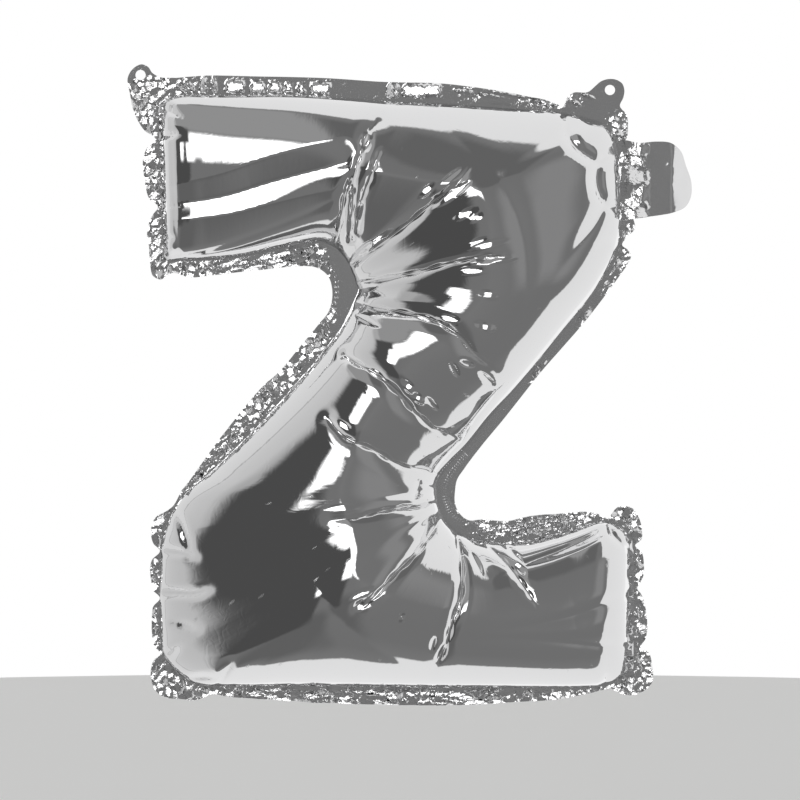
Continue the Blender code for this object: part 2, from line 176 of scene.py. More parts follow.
# Creases and troughs of the film. The depth is at the start, the middle and the end of the way,
# the half width of the bulges beside it at the start and the end. The groove is its sharp bottom.
creaseTable = {
    # name: (depths, half widths, how hollow the flanks are, groove depth, groove half width, points), in mm
    "fanOne": ((2.5, 3, 1.5), (5, 11), 2, 1.2, 1.6,
        [(-23, -94), (-19, -78.5), (-17, -66.5), (-9, -45), (-4.5, -31.5), (1.5, -24.5)]),
    "fanOneBeside": ((1.6, 1.8, 0.3), (4, 6), 2, 1.3, 1.6,
        [(-14, -88.5), (-12, -66), (-11.5, -55), (-7.5, -43.5), (-2, -35.5)]),
    "fanOneOuter": ((1.4, 1.6, 0), (4, 8), 2, 1, 1.6,
        [(-10, -84), (-7.5, -69), (-1.5, -52.5), (4.5, -38)]),
    "fanTwo": ((2, 1.8, 0.3), (4, 7), 2, 1, 1.4,
        [(-14, -102.5), (2.5, -92), (18.5, -80.5), (34, -68), (45, -60), (53, -49)]),
    "fanThree": ((2, 1.8, 0.3), (4, 6), 2, 1, 1.4,
        [(-9.5, -113), (2.5, -111), (24, -107.5), (39, -103.5), (59, -100), (78.5, -101)]),
    "fanFour": ((2.5, 3.5, 1.2), (5, 12), 2, 1.2, 1.6,
        [(-9.5, -124), (-5, -125.5), (14, -129.5), (32, -134.5), (46, -142.5), (55.5, -153),
         (66.5, -161)]),
    "acrossOne": ((2.5, 4, 2), (7, 13), 2, 1.4, 1.8,
        [(-16.5, -153), (-11, -157), (0.5, -163.5), (13, -174), (22.5, -185), (34, -195),
         (46.5, -199.5)]),
    "acrossTwo": ((1.2, 3.2, 2), (8, 11), 2, 1.2, 1.6,
        [(-25.5, -188.5), (-18.5, -197), (0.5, -206), (14.5, -214.5), (30, -218), (36.5, -221.5)]),
    "lowOne": ((2, 2, 0.8), (4, 7), 2, 1, 1.4,
        [(35, -233.5), (18.5, -236.5), (2, -239.5), (-9.5, -242.5), (-23, -244)]),
    "lowTwo": ((2, 2.2, 0.6), (4, 8), 2, 1.1, 1.5,
        [(37, -243.5), (25, -260), (10.5, -274), (-0.5, -286), (-11, -294)]),
    "lowThree": ((2.2, 3, 1), (4, 10), 2, 1.3, 1.8,
        [(45.5, -253), (48, -268), (47.5, -285), (42, -302), (39, -313.5), (34, -327)]),
    "lowFour": ((1.8, 1.8, 0.2), (4, 8), 2, 0.9, 1.5,
        [(57.5, -256), (72.5, -268.5), (81.5, -280), (90.5, -293)]),
    "barTwo": ((4.5, 6, 4.5), (9, 14), 1.1, 0, 1,
        [(-121, -69.5), (-106, -68), (-81.5, -64), (-59, -57.5), (-30, -50.5), (-16, -48)]),
    "barThree": ((0.2, 0.45, 0.5), (2.5, 3), 2, 0, 1,
        [(-114, -101), (-104, -98.5), (-70.5, -87.5), (-42.5, -77), (-20, -67.5)]),
    "barFour": ((0.1, 0.1, 0.1), (2, 3), 2, 0, 1,
        [(-98.5, -99.5), (-70.5, -96.5), (-42.5, -91.5), (-22.5, -88.5)]),
    "lowBarOne": ((2.6, 1.4, 0.2), (7, 14), 2, 0, 1,
        [(145.5, -286.5), (134.5, -289), (109.5, -297.5), (81.5, -303), (53, -305)]),
    "lowBarTwo": ((2.6, 1.4, 0.4), (7, 10), 2, 0, 1,
        [(148.5, -318.5), (137.5, -316), (109.5, -312), (70, -309.5), (45, -311)]),
    "lowBarThree": ((1.5, 1.5, 0.6), (4, 8), 2, 0, 1,
        [(130, -248), (123.5, -252.5), (104, -261.5), (81.5, -269.5), (64.5, -276.5)]),
    "arcUpper": ((0.3, 1.3, 0.3), (12, 12), 2, 0, 1,
        [(45, -32.5), (59, -46.5), (73, -66), (81.5, -91.5), (83, -116.5), (77, -139)]),
    "arcLower": ((0, 1.3, 0.3), (12, 14), 2, 0, 1,
        [(-37, -256), (-33.5, -268), (-22, -294), (-2, -313), (25, -329)]),
    "cornerTop": ((3, 4, 3), (6, 6), 2, 0.8, 1.5,
        [(105.5, -14.5), (107.5, -22), (107.5, -31), (111.5, -38), (118, -43), (124.5, -46), (130, -43),
         (135, -39.5)]),
    "cornerMid": ((3, 4, 3), (6, 6), 2, 0.8, 1.5,
        [(127.5, -44), (123.5, -50.5), (123, -57), (124.5, -63.5), (128, -69), (138, -70)]),
    "cornerLow": ((2.5, 1, 0), (6, 14), 2, 0, 1,
        [(128, -69), (121.5, -81.5), (112, -94), (101.5, -108), (92.5, -122)]),
    "cornerOuter": ((2, 1, 0), (4, 6), 2, 0, 1, [(138.5, -90), (130.5, -90), (121.5, -95)]),
    "endTopOne": ((6, 4, 0.5), (4, 4), 2, 0.8, 1.2, [(-123.5, -30.5), (-116.5, -30.5), (-109.5, -30)]),
    "endTopTwo": ((6, 4, 0.5), (4, 4), 2, 0.8, 1.2, [(-122.5, -70), (-115.5, -70), (-106.5, -69.5)]),
    "endTopThree": ((2, 1.5, 0), (4, 4), 2, 0.4, 1.2, [(-120, -87.5), (-115.5, -88), (-112, -87.5)]),
    "endTopUpper": ((3, 2, 0), (5, 5), 2, 0.4, 1.2, [(-122, -14.5), (-115.5, -16.5), (-106.5, -22)]),
    "endTopLower": ((3, 2, 0), (4, 5), 2, 0.4, 1.2, [(-120, -99.5), (-114, -98), (-107.5, -96.5)]),
    "endRightOne": ((6, 4, 0.5), (5, 4), 2, 0.8, 1.2, [(148.5, -260), (142, -260.5), (138.5, -259)]),
    "endRightTwo": ((6, 4, 0.5), (5, 4), 2, 0.8, 1.2, [(148.5, -286.5), (142, -288), (137.5, -290)]),
    "endRightThree": ((6, 4, 0.5), (5, 4), 2, 0.8, 1.2, [(150, -318), (143, -317.5), (138.5, -314)]),
    "endRightCorner": ((4, 3, 0.5), (5, 5), 2, 0.4, 1.2, [(129.5, -339), (129.5, -333.5), (128.5, -330)]),
    "endRightTop": ((4, 3, 1), (4, 4), 2, 0.4, 1.2, [(130, -245), (132, -252.5), (138.5, -260)]),
    "endLeftOne": ((6, 4, 0.5), (5, 5), 2, 0.8, 1.2,
        [(-120.5, -262.5), (-114, -263), (-106.5, -264), (-100.5, -266)]),
    "endLeftTwo": ((6, 4, 0.5), (5, 5), 2, 0.8, 1.2,
        [(-121, -286), (-109.5, -286), (-101, -286), (-93, -284)]),
    "endLeftTwoBelow": ((0.5, 2.5, 0.5), (4, 4), 2, 0.6, 1.2,
        [(-114, -303), (-106.5, -304), (-99.5, -306)]),
    "endLeftThree": ((6, 4, 0.5), (5, 5), 2, 0.8, 1.2,
        [(-121, -321.5), (-115.5, -320.5), (-109.5, -316)]),
    "endLeftCorner": ((3, 2.5, 0.6), (4, 6), 2, 0.6, 1.2,
        [(-90.5, -342.5), (-86, -335.5), (-80.5, -325.5)]),
    "endLeftLow": ((0.5, 2, 0.5), (4, 4), 2, 0.6, 1.2, [(-105, -334), (-95.5, -333), (-87, -333.5)]),
    "leftSlopeEnd": ((2, 2, 0.5), (4, 4), 2, 0.4, 1.2,
        [(-114, -239), (-109.5, -245.5), (-105, -257), (-103, -266)]),
}
# How uneven the sharp bottoms of the creases are
grooveSettings = {
    "uneven": 0.25,       # how much their depth wavers, as a share
    "waves": 40,          # how fast it does so along the crease
    "shift": 1.7,         # from one crease to the next
    "fadeShare": 0.15,    # the share of its way over which a groove fades out
}

# Lens-shaped puckers around the ends of the creases, each from end to end in mm
puckerTable = [
    # the upper fan
    ((24.5, -67), (32.5, -59.5)), ((30, -67), (48, -51)), ((33, -72.5), (52.5, -58.5)),
    ((42.5, -79.5), (56, -74)), ((50, -80.5), (59, -76.5)), ((50, -95.5), (62, -90)),
    ((51.5, -96.5), (74, -90.5)), ((47.5, -103.5), (67, -97.5)), ((55, -102), (78.5, -100)),
    ((46, -108), (60, -107.5)), ((57.5, -119.5), (68, -122)), ((-2, -53), (3.5, -39.5)),
    ((-4.5, -42.5), (-4, -29)), ((-13, -55), (-8.5, -41)), ((-16.5, -66), (-12.5, -57)),
    ((-9.5, -78.5), (-7.5, -69)), ((34.5, -132.5), (46, -135)), ((55, -136), (66.5, -140.5)),
    # the diagonal
    ((41, -157), (46, -165.5)), ((46.5, -156.5), (54.5, -159)), ((28, -176), (35, -184)),
    ((19.5, -174), (28, -180.5)), ((15, -167), (22.5, -175.5)), ((57.5, -162.5), (66.5, -170.5)),
    ((-5, -171.5), (0.5, -177)), ((-22.5, -189.5), (-13, -195)), ((-17, -198.5), (-7.5, -204)),
    # the lower fan
    ((-27.5, -238.5), (-8.5, -237)), ((-26.5, -249.5), (-17, -242.5)), ((-13, -287.5), (-0.5, -281.5)),
    ((-11.5, -292), (-5, -286.5)), ((-7, -293), (0.5, -289.5)), ((13.5, -300), (16.5, -294.5)),
    ((31, -316.5), (33.5, -307.5)), ((34, -323.5), (39.5, -312)), ((70, -257), (81.5, -268)),
    ((77, -266), (83.5, -275)), ((53, -262.5), (59, -274)),
    # beside the inner corners
    ((-14, -101), (-2, -90.5)), ((-13, -116.5), (1.5, -115)), ((-11, -131), (2.5, -138)),
    ((25, -222), (22, -234.5)),
]
puckerSettings = {
    "halfWidth": 2.5,               # mm
    "edge": 0.7,                    # mm over which a facet's edge falls away
    "lampRise": (0.155, -0.19),     # slopes along x and z at which the film mirrors the lamp
    "mostAcross": 0.6,              # a facet tilts no further across itself than this
    "mostAlong": 0.45,              # nor along itself than this
    "foldSlope": 0.8,               # the flanks of the others
    "foldRound": 0.12,              # mm, the radius of their ridge
}


def smoothRun(at, values, want):
    # a smooth curve through unevenly spaced values
    slope = np.gradient(values, at, axis=0)
    k = np.clip(np.searchsorted(at, want, side="right") - 1, 0, len(at) - 2)
    gap = (at[k + 1] - at[k])[:, None]
    t = (want[:, None] - at[k][:, None]) / gap
    a, b, sa, sb = values[k], values[k + 1], slope[k] * gap, slope[k + 1] * gap
    return (a * (2 * t ** 3 - 3 * t ** 2 + 1) + sa * (t ** 3 - 2 * t ** 2 + t)
            + b * (3 * t ** 2 - 2 * t ** 3) + sb * (t ** 3 - t ** 2))


def runLength(way):
    # how far along a polyline each of its points is
    steps = np.linalg.norm(np.diff(way, axis=0), axis=1)
    return np.concatenate([[0], np.cumsum(np.maximum(steps, 1e-6))])


def resample(way, count):
    # evenly spaced points along a polyline
    run = runLength(way)
    want = np.linspace(0, run[-1], count)
    return np.stack([np.interp(want, run, way[:, k]) for k in range(way.shape[1])], axis=1)


def smoothWay(points, perSpan=8):
    way = np.array(points, float)
    run = runLength(way)
    want = np.concatenate([np.linspace(a, b, perSpan, endpoint=False) for a, b in zip(run, run[1:])])
    return smoothRun(run, way, np.append(want, run[-1]))


def stationRows():
    # sections spaced evenly along the stroke, with the columns of sectionTable
    rows = np.array(sectionTable, float)
    step = (np.linalg.norm(np.diff(rows[:, 0:2], axis=0), axis=1)
            + np.linalg.norm(np.diff(rows[:, 2:4], axis=0), axis=1)) / 2
    run = np.concatenate([[0], np.cumsum(step)])
    made = smoothRun(run, rows, np.linspace(0, run[-1], filmSettings["stations"] + 1))
    made[:, 4] = np.maximum(made[:, 4], 0)
    made[0, 4] = made[-1, 4] = 0
    return made


def smoothPillow():
    # the film before it creases, front side, as a grid of points with y as its height
    s = np.sin(np.linspace(-math.pi / 2, math.pi / 2, filmSettings["profilePoints"]))
    rounded = np.sqrt(np.maximum(1 - s ** 2, 0))
    cone = 1 - np.abs(s) ** filmSettings["conePower"]
    grid = []
    for ax, az, bx, bz, crown, place, outerCone, otherCone in stationRows():
        coneShare = np.where(s < 0, outerCone, otherCone)
        profile = crown * (cone * coneShare + rounded * (1 - coneShare))
        t = ((s + 1) / 2) ** -math.log2(place)
        section = np.stack([ax + (bx - ax) * t, profile, az + (bz - az) * t], axis=1)
        grid.append(resample(section, filmSettings["across"] + 1))
    return np.array(grid)


def wayDistance(flat, way):
    # distance from each flat point to a polyline, and how far along it the nearest place is
    best = np.full(flat.shape[:-1], np.inf)
    along = np.zeros(flat.shape[:-1])
    run = runLength(way)
    for k in range(len(way) - 1):
        a, d = way[k], way[k + 1] - way[k]
        t = np.clip(((flat - a) @ d) / (d @ d), 0, 1)
        gap = np.linalg.norm(flat - (a + t[..., None] * d), axis=-1)
        nearer = gap < best
        best = np.where(nearer, gap, best)
        along = np.where(nearer, (run[k] + t * (run[k + 1] - run[k])) / run[-1], along)
    return best, along


def slopesAt(grid, x, z):
    # how fast the film rises along x and along z at a flat point, over a few spaces of the grid
    rows, columns = 4, 2
    i, j = np.unravel_index(np.argmin((grid[..., 0] - x) ** 2 + (grid[..., 2] - z) ** 2), grid.shape[:2])
    i = min(max(i, rows), grid.shape[0] - rows - 1)
    j = min(max(j, columns), grid.shape[1] - columns - 1)
    a = grid[i + rows, j] - grid[i - rows, j]
    b = grid[i, j + columns] - grid[i, j - columns]
    return np.linalg.solve([[a[0], a[2]], [b[0], b[2]]], [a[1], b[1]])


def pucker(grid, flat, start, end):
    # how far a lens-shaped pucker lifts the film: a facet that mirrors the lamp, or a sharp fold
    s = puckerSettings
    length = np.linalg.norm(end - start)
    way = (end - start) / length
    away = way[::-1] * (-1, 1)
    off = flat - (start + end) / 2
    along, across = off @ way, off @ away
    width = s["halfWidth"] * np.sqrt(np.clip(1 - (2 * along / length) ** 2, 0, 1))
    missing = np.array(s["lampRise"]) - slopesAt(grid, *((start + end) / 2))
    if abs(missing @ away) > s["mostAcross"] or abs(missing @ way) > s["mostAlong"]:
        return -s["foldSlope"] * np.maximum(width - np.hypot(across, s["foldRound"]), 0)
    inside = np.clip((width - np.abs(across)) / s["edge"], 0, 1)
    return inside * (missing @ away * across + missing @ way * along * (1 - (2 * along / length) ** 2))


def creased(grid, phase):
    # the same film with its creases, troughs and puckers pressed in
    s = grooveSettings
    flat = grid[..., [0, 2]]
    height = grid[..., 1]
    sharp = filmSettings["valleyRound"]
    broadSum = np.zeros(height.shape)
    grooves = np.zeros(height.shape)
    for number, (depths, widths, hollow, grooveDepth, grooveWidth, points) in enumerate(creaseTable.values()):
        gap, along = wayDistance(flat, smoothWay(points))
        depth = np.interp(along, (0, 0.5, 1), depths) * filmSettings["valleyDepth"]
        width = np.interp(along, (0, 1), widths)
        soft = np.sqrt(gap ** 2 + sharp ** 2) - sharp
        broadSum += (depth * np.clip(1 - soft / width, 0, 1) ** hollow) ** 3
        if grooveDepth:
            wave = 1 + s["uneven"] * (np.sin(along * s["waves"] + number * s["shift"] + phase) - 1)
            fade = np.clip((1 - along) / s["fadeShare"], 0, 1)
            groove = grooveDepth * fade * wave * np.clip(1 - soft / (grooveWidth * wave), 0, 1)
            grooves = np.maximum(grooves, groove)
    press = np.cbrt(broadSum) + grooves
    out = grid.copy()
    out[..., 1] = height - press * height / (height + filmSettings["pressLimit"] * press + 1e-9)
    for start, end in puckerTable:
        lift = pucker(out, flat, np.array(start, float), np.array(end, float))
        out[..., 1] += lift * filmSettings["puckerDepth"]
    return out


def stretchMap(mesh, grid):
    # a map in metres whose ripples run across the stroke: fine along it, long across it
    along = runLength(grid[:, grid.shape[1] // 2]) * mm
    lookup = {}
    for i in range(grid.shape[0]):
        for j, point in enumerate(grid[i]):
            across = j / grid.shape[1] * filmSettings["mapWidth"]
            lookup[(round(point[0], 2), round(point[2], 2))] = (along[i], across)
    uv = mesh.uv_layers.new(name="stretch")
    for loop in mesh.loops:
        point = mesh.vertices[loop.vertex_index].co / mm
        uv.data[loop.index].uv = lookup.get((round(point.x, 2), round(point.z, 2)), (0, 0))


def filmPiece(name, grid, side, material):
    # a closed body from the film's grid, with a flat face in the seam plane; side -1 is the front
    n, m = grid.shape[:2]
    coords = grid.reshape(-1, 3).copy()
    coords[:, 1] = side * (coords[:, 1] + filmSettings["seamGap"])
    corners = [i * m + j for i in range(n - 1) for j in range(m - 1)]
    faces = [(a, a + 1, a + m + 1, a + m) for a in corners]
    rim = ([i * m for i in range(n)] + [(n - 1) * m + j for j in range(1, m)]
           + [i * m + m - 1 for i in range(n - 2, -1, -1)] + [j for j in range(m - 2, 0, -1)])
    mesh = meshFrom(name, (coords * mm).tolist(), faces + [tuple(rim)], merge=1e-6)
    mesh.shade_smooth()
    mesh.set_sharp_from_angle(angle=math.radians(filmSettings["sharpAngle"]))
    stretchMap(mesh, grid)
    setCrumple(mesh, np.ones(len(mesh.vertices)))
    mesh.materials.append(material)
    return inScene(name, mesh)


# The welded border. Each side's outer edge runs clockwise seen from the front, in mm.
borderOutline = {
    "topEdge": [(-112, 2.6), (-98.4, 3.7), (-64.7, 3.4), (-28.2, 2.5), (5.5, 0.3), (40.3, -0.8),
        (58.8, -3.1), (70.1, -4.8), (86.9, -8.1), (101.5, -11.8), (105.4, -13.8)],
    "rightCorner": [(107.7, -8.6), (111.1, -5.9), (119.5, -5.3)],
    "rightEar": [(124, -1.6), (126.2, 0.3), (131.3, 2), (135.8, 1.4), (138.7, -0.6), (139.9, -4.2),
        (139.4, -8.2), (137.4, -13.2)],
    "afterRightEar": [(141, -17.8), (142, -25.6), (141.4, -30.6), (139.7, -34.5)],
    "besideNeck": [(143.6, -36.8), (145.3, -43.5), (144.8, -57.6), (145.3, -68.8), (144.8, -75.5)],
    "belowNeck": [(145.9, -81.7), (140.8, -87.3), (138.6, -91.3)],
    "lobeUnder": [(142, -94.1), (143.6, -97.4), (142, -101.4)],
    "rightSlope": [(137.5, -108.1), (126.8, -122.7), (116.1, -136.2), (104.3, -149.7), (92.5, -163.2),
        (81.9, -176.6), (71.2, -190.1), (60, -203.6), (49.8, -217.1), (45.9, -223.2), (44.8, -229.4),
        (44.8, -236.2), (47.6, -242.3), (52.1, -245.7), (60, -245.4), (74, -246.3), (86.9, -243.5),
        (101, -242.3), (123.4, -241.8), (128.5, -243.5), (130.2, -245.1)],
    "lowerRightEnd": [(133.5, -241.2), (136.3, -238.4), (140.3, -237.8), (144.2, -239), (147.6, -243.5),
        (149.8, -251.3), (149.3, -256.9), (145.9, -259.8), (149.8, -264.2), (150.9, -270.4),
        (150.4, -277.2), (148.7, -281.1), (147, -283.9), (149.3, -287.3), (151.5, -294),
        (152.6, -300.7), (152.6, -308.6), (151.5, -313.1), (149.3, -316.5), (153.7, -320.4),
        (155.4, -326.6), (154.9, -337.8), (151.5, -341.2), (145.3, -344), (138.6, -343.4),
        (134.1, -341.2), (132.4, -340.1)],
    "bottomEdge": [(127.9, -341.2), (120.6, -342.9), (103.8, -346.2), (79, -347.9), (47.6, -349.6),
        (13.9, -349.6), (-25.4, -348.5), (-64.7, -346.2), (-84.4, -344.6), (-91.1, -343.4)],
    "lowerLeftEnd": [(-95.6, -345.1), (-101.2, -346.8), (-109.7, -346.2), (-118.1, -345.1),
        (-122.6, -342.3), (-125.4, -337.3), (-125.9, -330), (-124.3, -324.3), (-120.9, -321),
        (-124.3, -315.9), (-125.4, -309.2), (-125.4, -300.7), (-124.8, -294.6), (-120.9, -289.5),
        (-124.8, -285), (-125.9, -279.4), (-126.5, -273.8), (-125.4, -268.2), (-120.9, -263.1),
        (-124.8, -258.6), (-125.9, -253), (-125.4, -248), (-122.6, -243.5), (-118.1, -241.2)],
    "leftSlope": [(-114.1, -238.4), (-109.1, -230), (-104, -223.2), (-94.5, -209.8), (-84.4, -196.3),
        (-73.7, -182.8), (-63, -170.5), (-54.1, -162.6), (-42.8, -149.1), (-31.6, -135.6),
        (-26, -128.3), (-24.3, -122.2), (-24.3, -115.4), (-26.5, -108.7), (-32.2, -104.2),
        (-42.3, -103.1), (-59.1, -104.7), (-76, -106.4), (-95.6, -108.7), (-104, -109.5),
        (-114.1, -107)],
    "upperLeftEnd": [(-120.9, -110.6), (-124.3, -109.2), (-126.5, -100.8), (-127.1, -92.4),
        (-128.2, -85.6), (-127.6, -81.2), (-125.4, -75), (-122, -69.9), (-127.1, -64.9),
        (-128.8, -59.3), (-129.9, -52), (-130.4, -43.5), (-128.2, -36.8), (-123.7, -31.2),
        (-129.3, -27.2), (-133.2, -21.6), (-136.1, -14.3), (-137.6, -7)],
    "leftEar": [(-138.8, 3.4), (-136.2, 7.6), (-131, 10.2), (-127.4, 8.6), (-125.4, 5.6), (-121.8, 3.4)],
}
earTable = {
    # name: (hole x, hole z, hole radius, the seat line's two ends)
    "hangEarLeft": (-131.8, 4.2, 2.9, (-138.4, -1.2), (-122.5, 2.9)),
    "hangEarRight": (131.8, -4.2, 2.9, (121, -4.4), (138.3, -11.2)),
}
borderSettings = {
    "thickness": 0.16,        # mm, two welded films
    "underFilms": 1.2,        # mm that it reaches in between the blown-up films
    "spacing": 0.85,          # mm between the points of its mesh
    "closest": 0.7,           # the least distance between two points of its edge, as a share
    "sharpAngle": 50,         # degrees, flatter folds are shaded smooth
    "facetSize": 3.8,         # mm, the size of the flat facets where it is crushed
    "foldSize": (9, 2.3),     # mm, along and across the seam, where it is folded along it
    # how the facets tilt: where they face, in degrees from the right, and their slope; 129 is the lamp
    "facetTilts": ((129, 0.25), (132, 0.23), (126, 0.26), (124, 0.22), (135, 0.27), (180, 0.55),
                   (310, 0.3), (50, 0.62)),
    "fade": (0.2, 3),         # how crushed or folded it is before it shows, and how fast it then does
    "patchSize": (11, 4),     # mm, along and across the seam, of the stretches with fewer folds
    "patchLevel": -0.32,      # the noise below which a stretch has them
    "leastFolded": 0.1,       # what is left of the folds there
    "wallWidth": 0.9,         # mm, the steep edge of a broad fold
    "ragged": (1.1, 2.2),     # mm that its edge strays, and over which length
    "foldSlope": 1.25,        # the flanks of the sharp folds
    "calmWave": (0.5, 17),    # mm, height and length of the gentle waves of the calm stretches
    "seamRim": (0.3, 1.8),    # mm that stay flat beside the seam, and over which the height sets in
    "leastCrumple": 0.3,      # how much of the fine crumple the calm stretches keep
    "underNeck": (134, -79, -33, 0.1),    # left, bottom and top of the place under the neck, how crushed
    "holePoints": 22,         # around an ear's hole
    "seatPoints": 14,         # along the line where an ear joins
    "seamSpacing": 1.0,       # mm between the points of the seam that heights are measured from
    "earReach": 14,           # mm from the hole's middle
    "seed": 7,
}
meshingSettings = {
    # how every thin sheet is meshed, as shares of the distance between its points
    "edgeSpacing": 0.8,       # along its edges
    "rowShare": 0.87,         # from one row to the next
    "looseness": 0.33,        # how far a point strays from its row
    "clearShare": 0.45,       # how close a point may come to an edge
    "mergeWithin": 1e-5,      # mm
}
# Where the border is crushed into flat facets, and where it is folded along the seam
crumpleZones = [
    # x, z, reach in mm, how crushed, how folded
    (-126, -12, 11, 1, 0), (-131, -28, 6, 0.8, 0), (-131, -52, 12, 0.9, 0), (-126, -72, 7, 1, 0),
    (-126, -90, 11, 1, 0), (-121, -106, 9, 1, 0), (-106, -4, 6, 0.6, 0), (-100, -107, 13, 0.5, 0.7),
    (-80, -105, 15, 0.2, 1), (-58, -102, 15, 0.2, 1), (-38, -102, 9, 0.3, 0.8),
    (52, -6, 9, 0, 0.3), (92, -12, 10, 0.3, 0.7), (112, -9, 8, 0.35, 0), (140, -26, 8, 0.9, 0),
    (142, -88, 8, 1, 0), (137, -108, 9, 0.2, 1), (118, -133, 5, 0.9, 0), (92, -164, 5, 0.9, 0),
    (50, -236, 7, 0.3, 0.5), (68, -243, 11, 0.3, 1), (88, -243, 12, 0.4, 1), (108, -242, 11, 0.6, 0.8),
    (124, -243, 8, 0.9, 0), (142, -246, 9, 1, 0), (149, -256, 6, 1, 0), (149, -272, 11, 0.95, 0),
    (151, -303, 13, 0.95, 0), (152, -328, 11, 1, 0), (142, -342, 9, 1, 0), (118, -344, 14, 0.9, 0.3),
    (92, -346, 14, 0.7, 0.6), (62, -347, 18, 0.1, 1), (30, -347, 16, 0, 1), (2, -347, 14, 0, 1),
    (-28, -346, 16, 0, 1), (-58, -345, 14, 0, 0.75), (-82, -343, 10, 0.4, 0.8), (-104, -343, 12, 0.95, 0),
    (-122, -332, 10, 1, 0), (-124, -304, 12, 0.95, 0), (-124, -276, 12, 0.95, 0), (-121, -249, 9, 1, 0),
    (-108, -229, 10, 0, 0.9), (-92, -208, 13, 0.35, 0.9), (-72, -184, 14, 0.6, 0.8),
    (-54, -163, 10, 0.8, 0.5), (-38, -144, 11, 0.7, 0.3), (-28, -129, 6, 0.6, 0),
]
# Broad folds of the top edge, which mirror the lamp: middle, length and width, in mm
borderPatches = [
    (-95.6, -0.5, 3.6, 9.5), (-90, -1.4, 2.6, 11), (-78.7, -2.2, 11.2, 7.4), (-66.1, -2.4, 8.2, 7.4),
    (-56.3, -2.8, 7.6, 7.6), (-48.7, -3, 4.8, 7), (-41.4, -3.4, 4.8, 7), (-30.5, -3.3, 12, 7),
    (10.2, -4, 7.2, 8.2), (26.3, -4.5, 22, 7.6),
]
# Sharp folds that stand up from the calm stretches: their two ends and half their width, in mm
borderFolds = [
    (-95.7, 3.4, -95.2, -5.5, 1.7), (-90, 3.6, -89.6, -6.5, 1.1), (8.6, -0.3, 9.6, -8.4, 1.5),
    (12.2, -0.3, 12.8, -8.4, 1.2), (43.5, -4.2, 56.5, -5.3, 1.3), (58, -6.3, 73.5, -8.6, 1.1),
    (39, -11.3, 54, -12.2, 0.9), (58, -12, 84, -14.4, 0.9), (60, -3.8, 84, -8.3, 0.8),
    (12, -341.5, 15.5, -349, 0.9), (15.5, -341.5, 12, -349, 0.9), (-112, -1, -104, -6, 1.3),
    (-106.5, 2, -99.5, -6.5, 1.2), (116, -6.5, 124, -9, 1.2), (110, -10, 116, -13.5, 1.1),
    (98, -154, 92, -162, 0.9), (122, -126, 117.5, -132, 1.1), (-140, -2, -136.5, -14, 1.1),
]


def seamLoop(inset=0.0):
    # the films' edge in the seam plane, anticlockwise seen from the front, in mm
    rows = stationRows()
    outer, other = rows[:, 0:2], rows[:, 2:4]
    across = other - outer
    across /= np.linalg.norm(across, axis=1, keepdims=True)
    along = np.gradient((outer + other) / 2, axis=0)
    along /= np.linalg.norm(along, axis=1, keepdims=True)
    fromEnd = np.minimum(np.arange(len(rows)), np.arange(len(rows))[::-1])
    endShare = np.where(fromEnd == 0, 1.0, 0.0)[:, None]
    inwards = along * np.where(np.arange(len(rows)) < len(rows) / 2, 1, -1)[:, None]
    outerIn = outer + (across * (1 - endShare) + (inwards + across) * endShare) * inset
    otherIn = other + (-across * (1 - endShare) + (inwards - across) * endShare) * inset
    return np.concatenate([otherIn, outerIn[::-1]])


def thinned(loop, spacing):
    # the loop with points that lie too close together left out
    kept = [loop[0]]
    for point in loop[1:]:
        if np.linalg.norm(point - kept[-1]) >= spacing:
            kept.append(point)
    if np.linalg.norm(kept[-1] - loop[0]) < spacing:
        kept.pop()
    return np.array(kept)


def outlineLoop(points, spacing, closest):
    # a smooth closed outline through the points; the last value is the least distance, as a share
    way = np.array(points + points[:1], float)
    run = runLength(way)
    edge = spacing * meshingSettings["edgeSpacing"]
    return thinned(smoothRun(run, way, np.arange(0, run[-1], edge)), spacing * closest)


def insideLoop(flat, loop):
    # whether each flat point is inside a closed loop
    inside = np.zeros(len(flat), bool)
    x, z = flat[:, 0], flat[:, 1]
    for (x1, z1), (x2, z2) in zip(loop, np.roll(loop, -1, axis=0)):
        if z1 == z2:
            continue
        crosses = (z1 > z) != (z2 > z)
        inside ^= crosses & (x < (x2 - x1) * (z - z1) / (z2 - z1) + x1)
    return inside


def insideSheet(flat, outer, holes):
    inside = insideLoop(flat, outer)
    for hole in holes:
        inside &= ~insideLoop(flat, hole)
    return inside


def ringPoints(x, z, radius, count):
    turn = np.arange(count) * 2 * math.pi / count
    return np.stack([x + radius * np.cos(turn), z + radius * np.sin(turn)], axis=1)


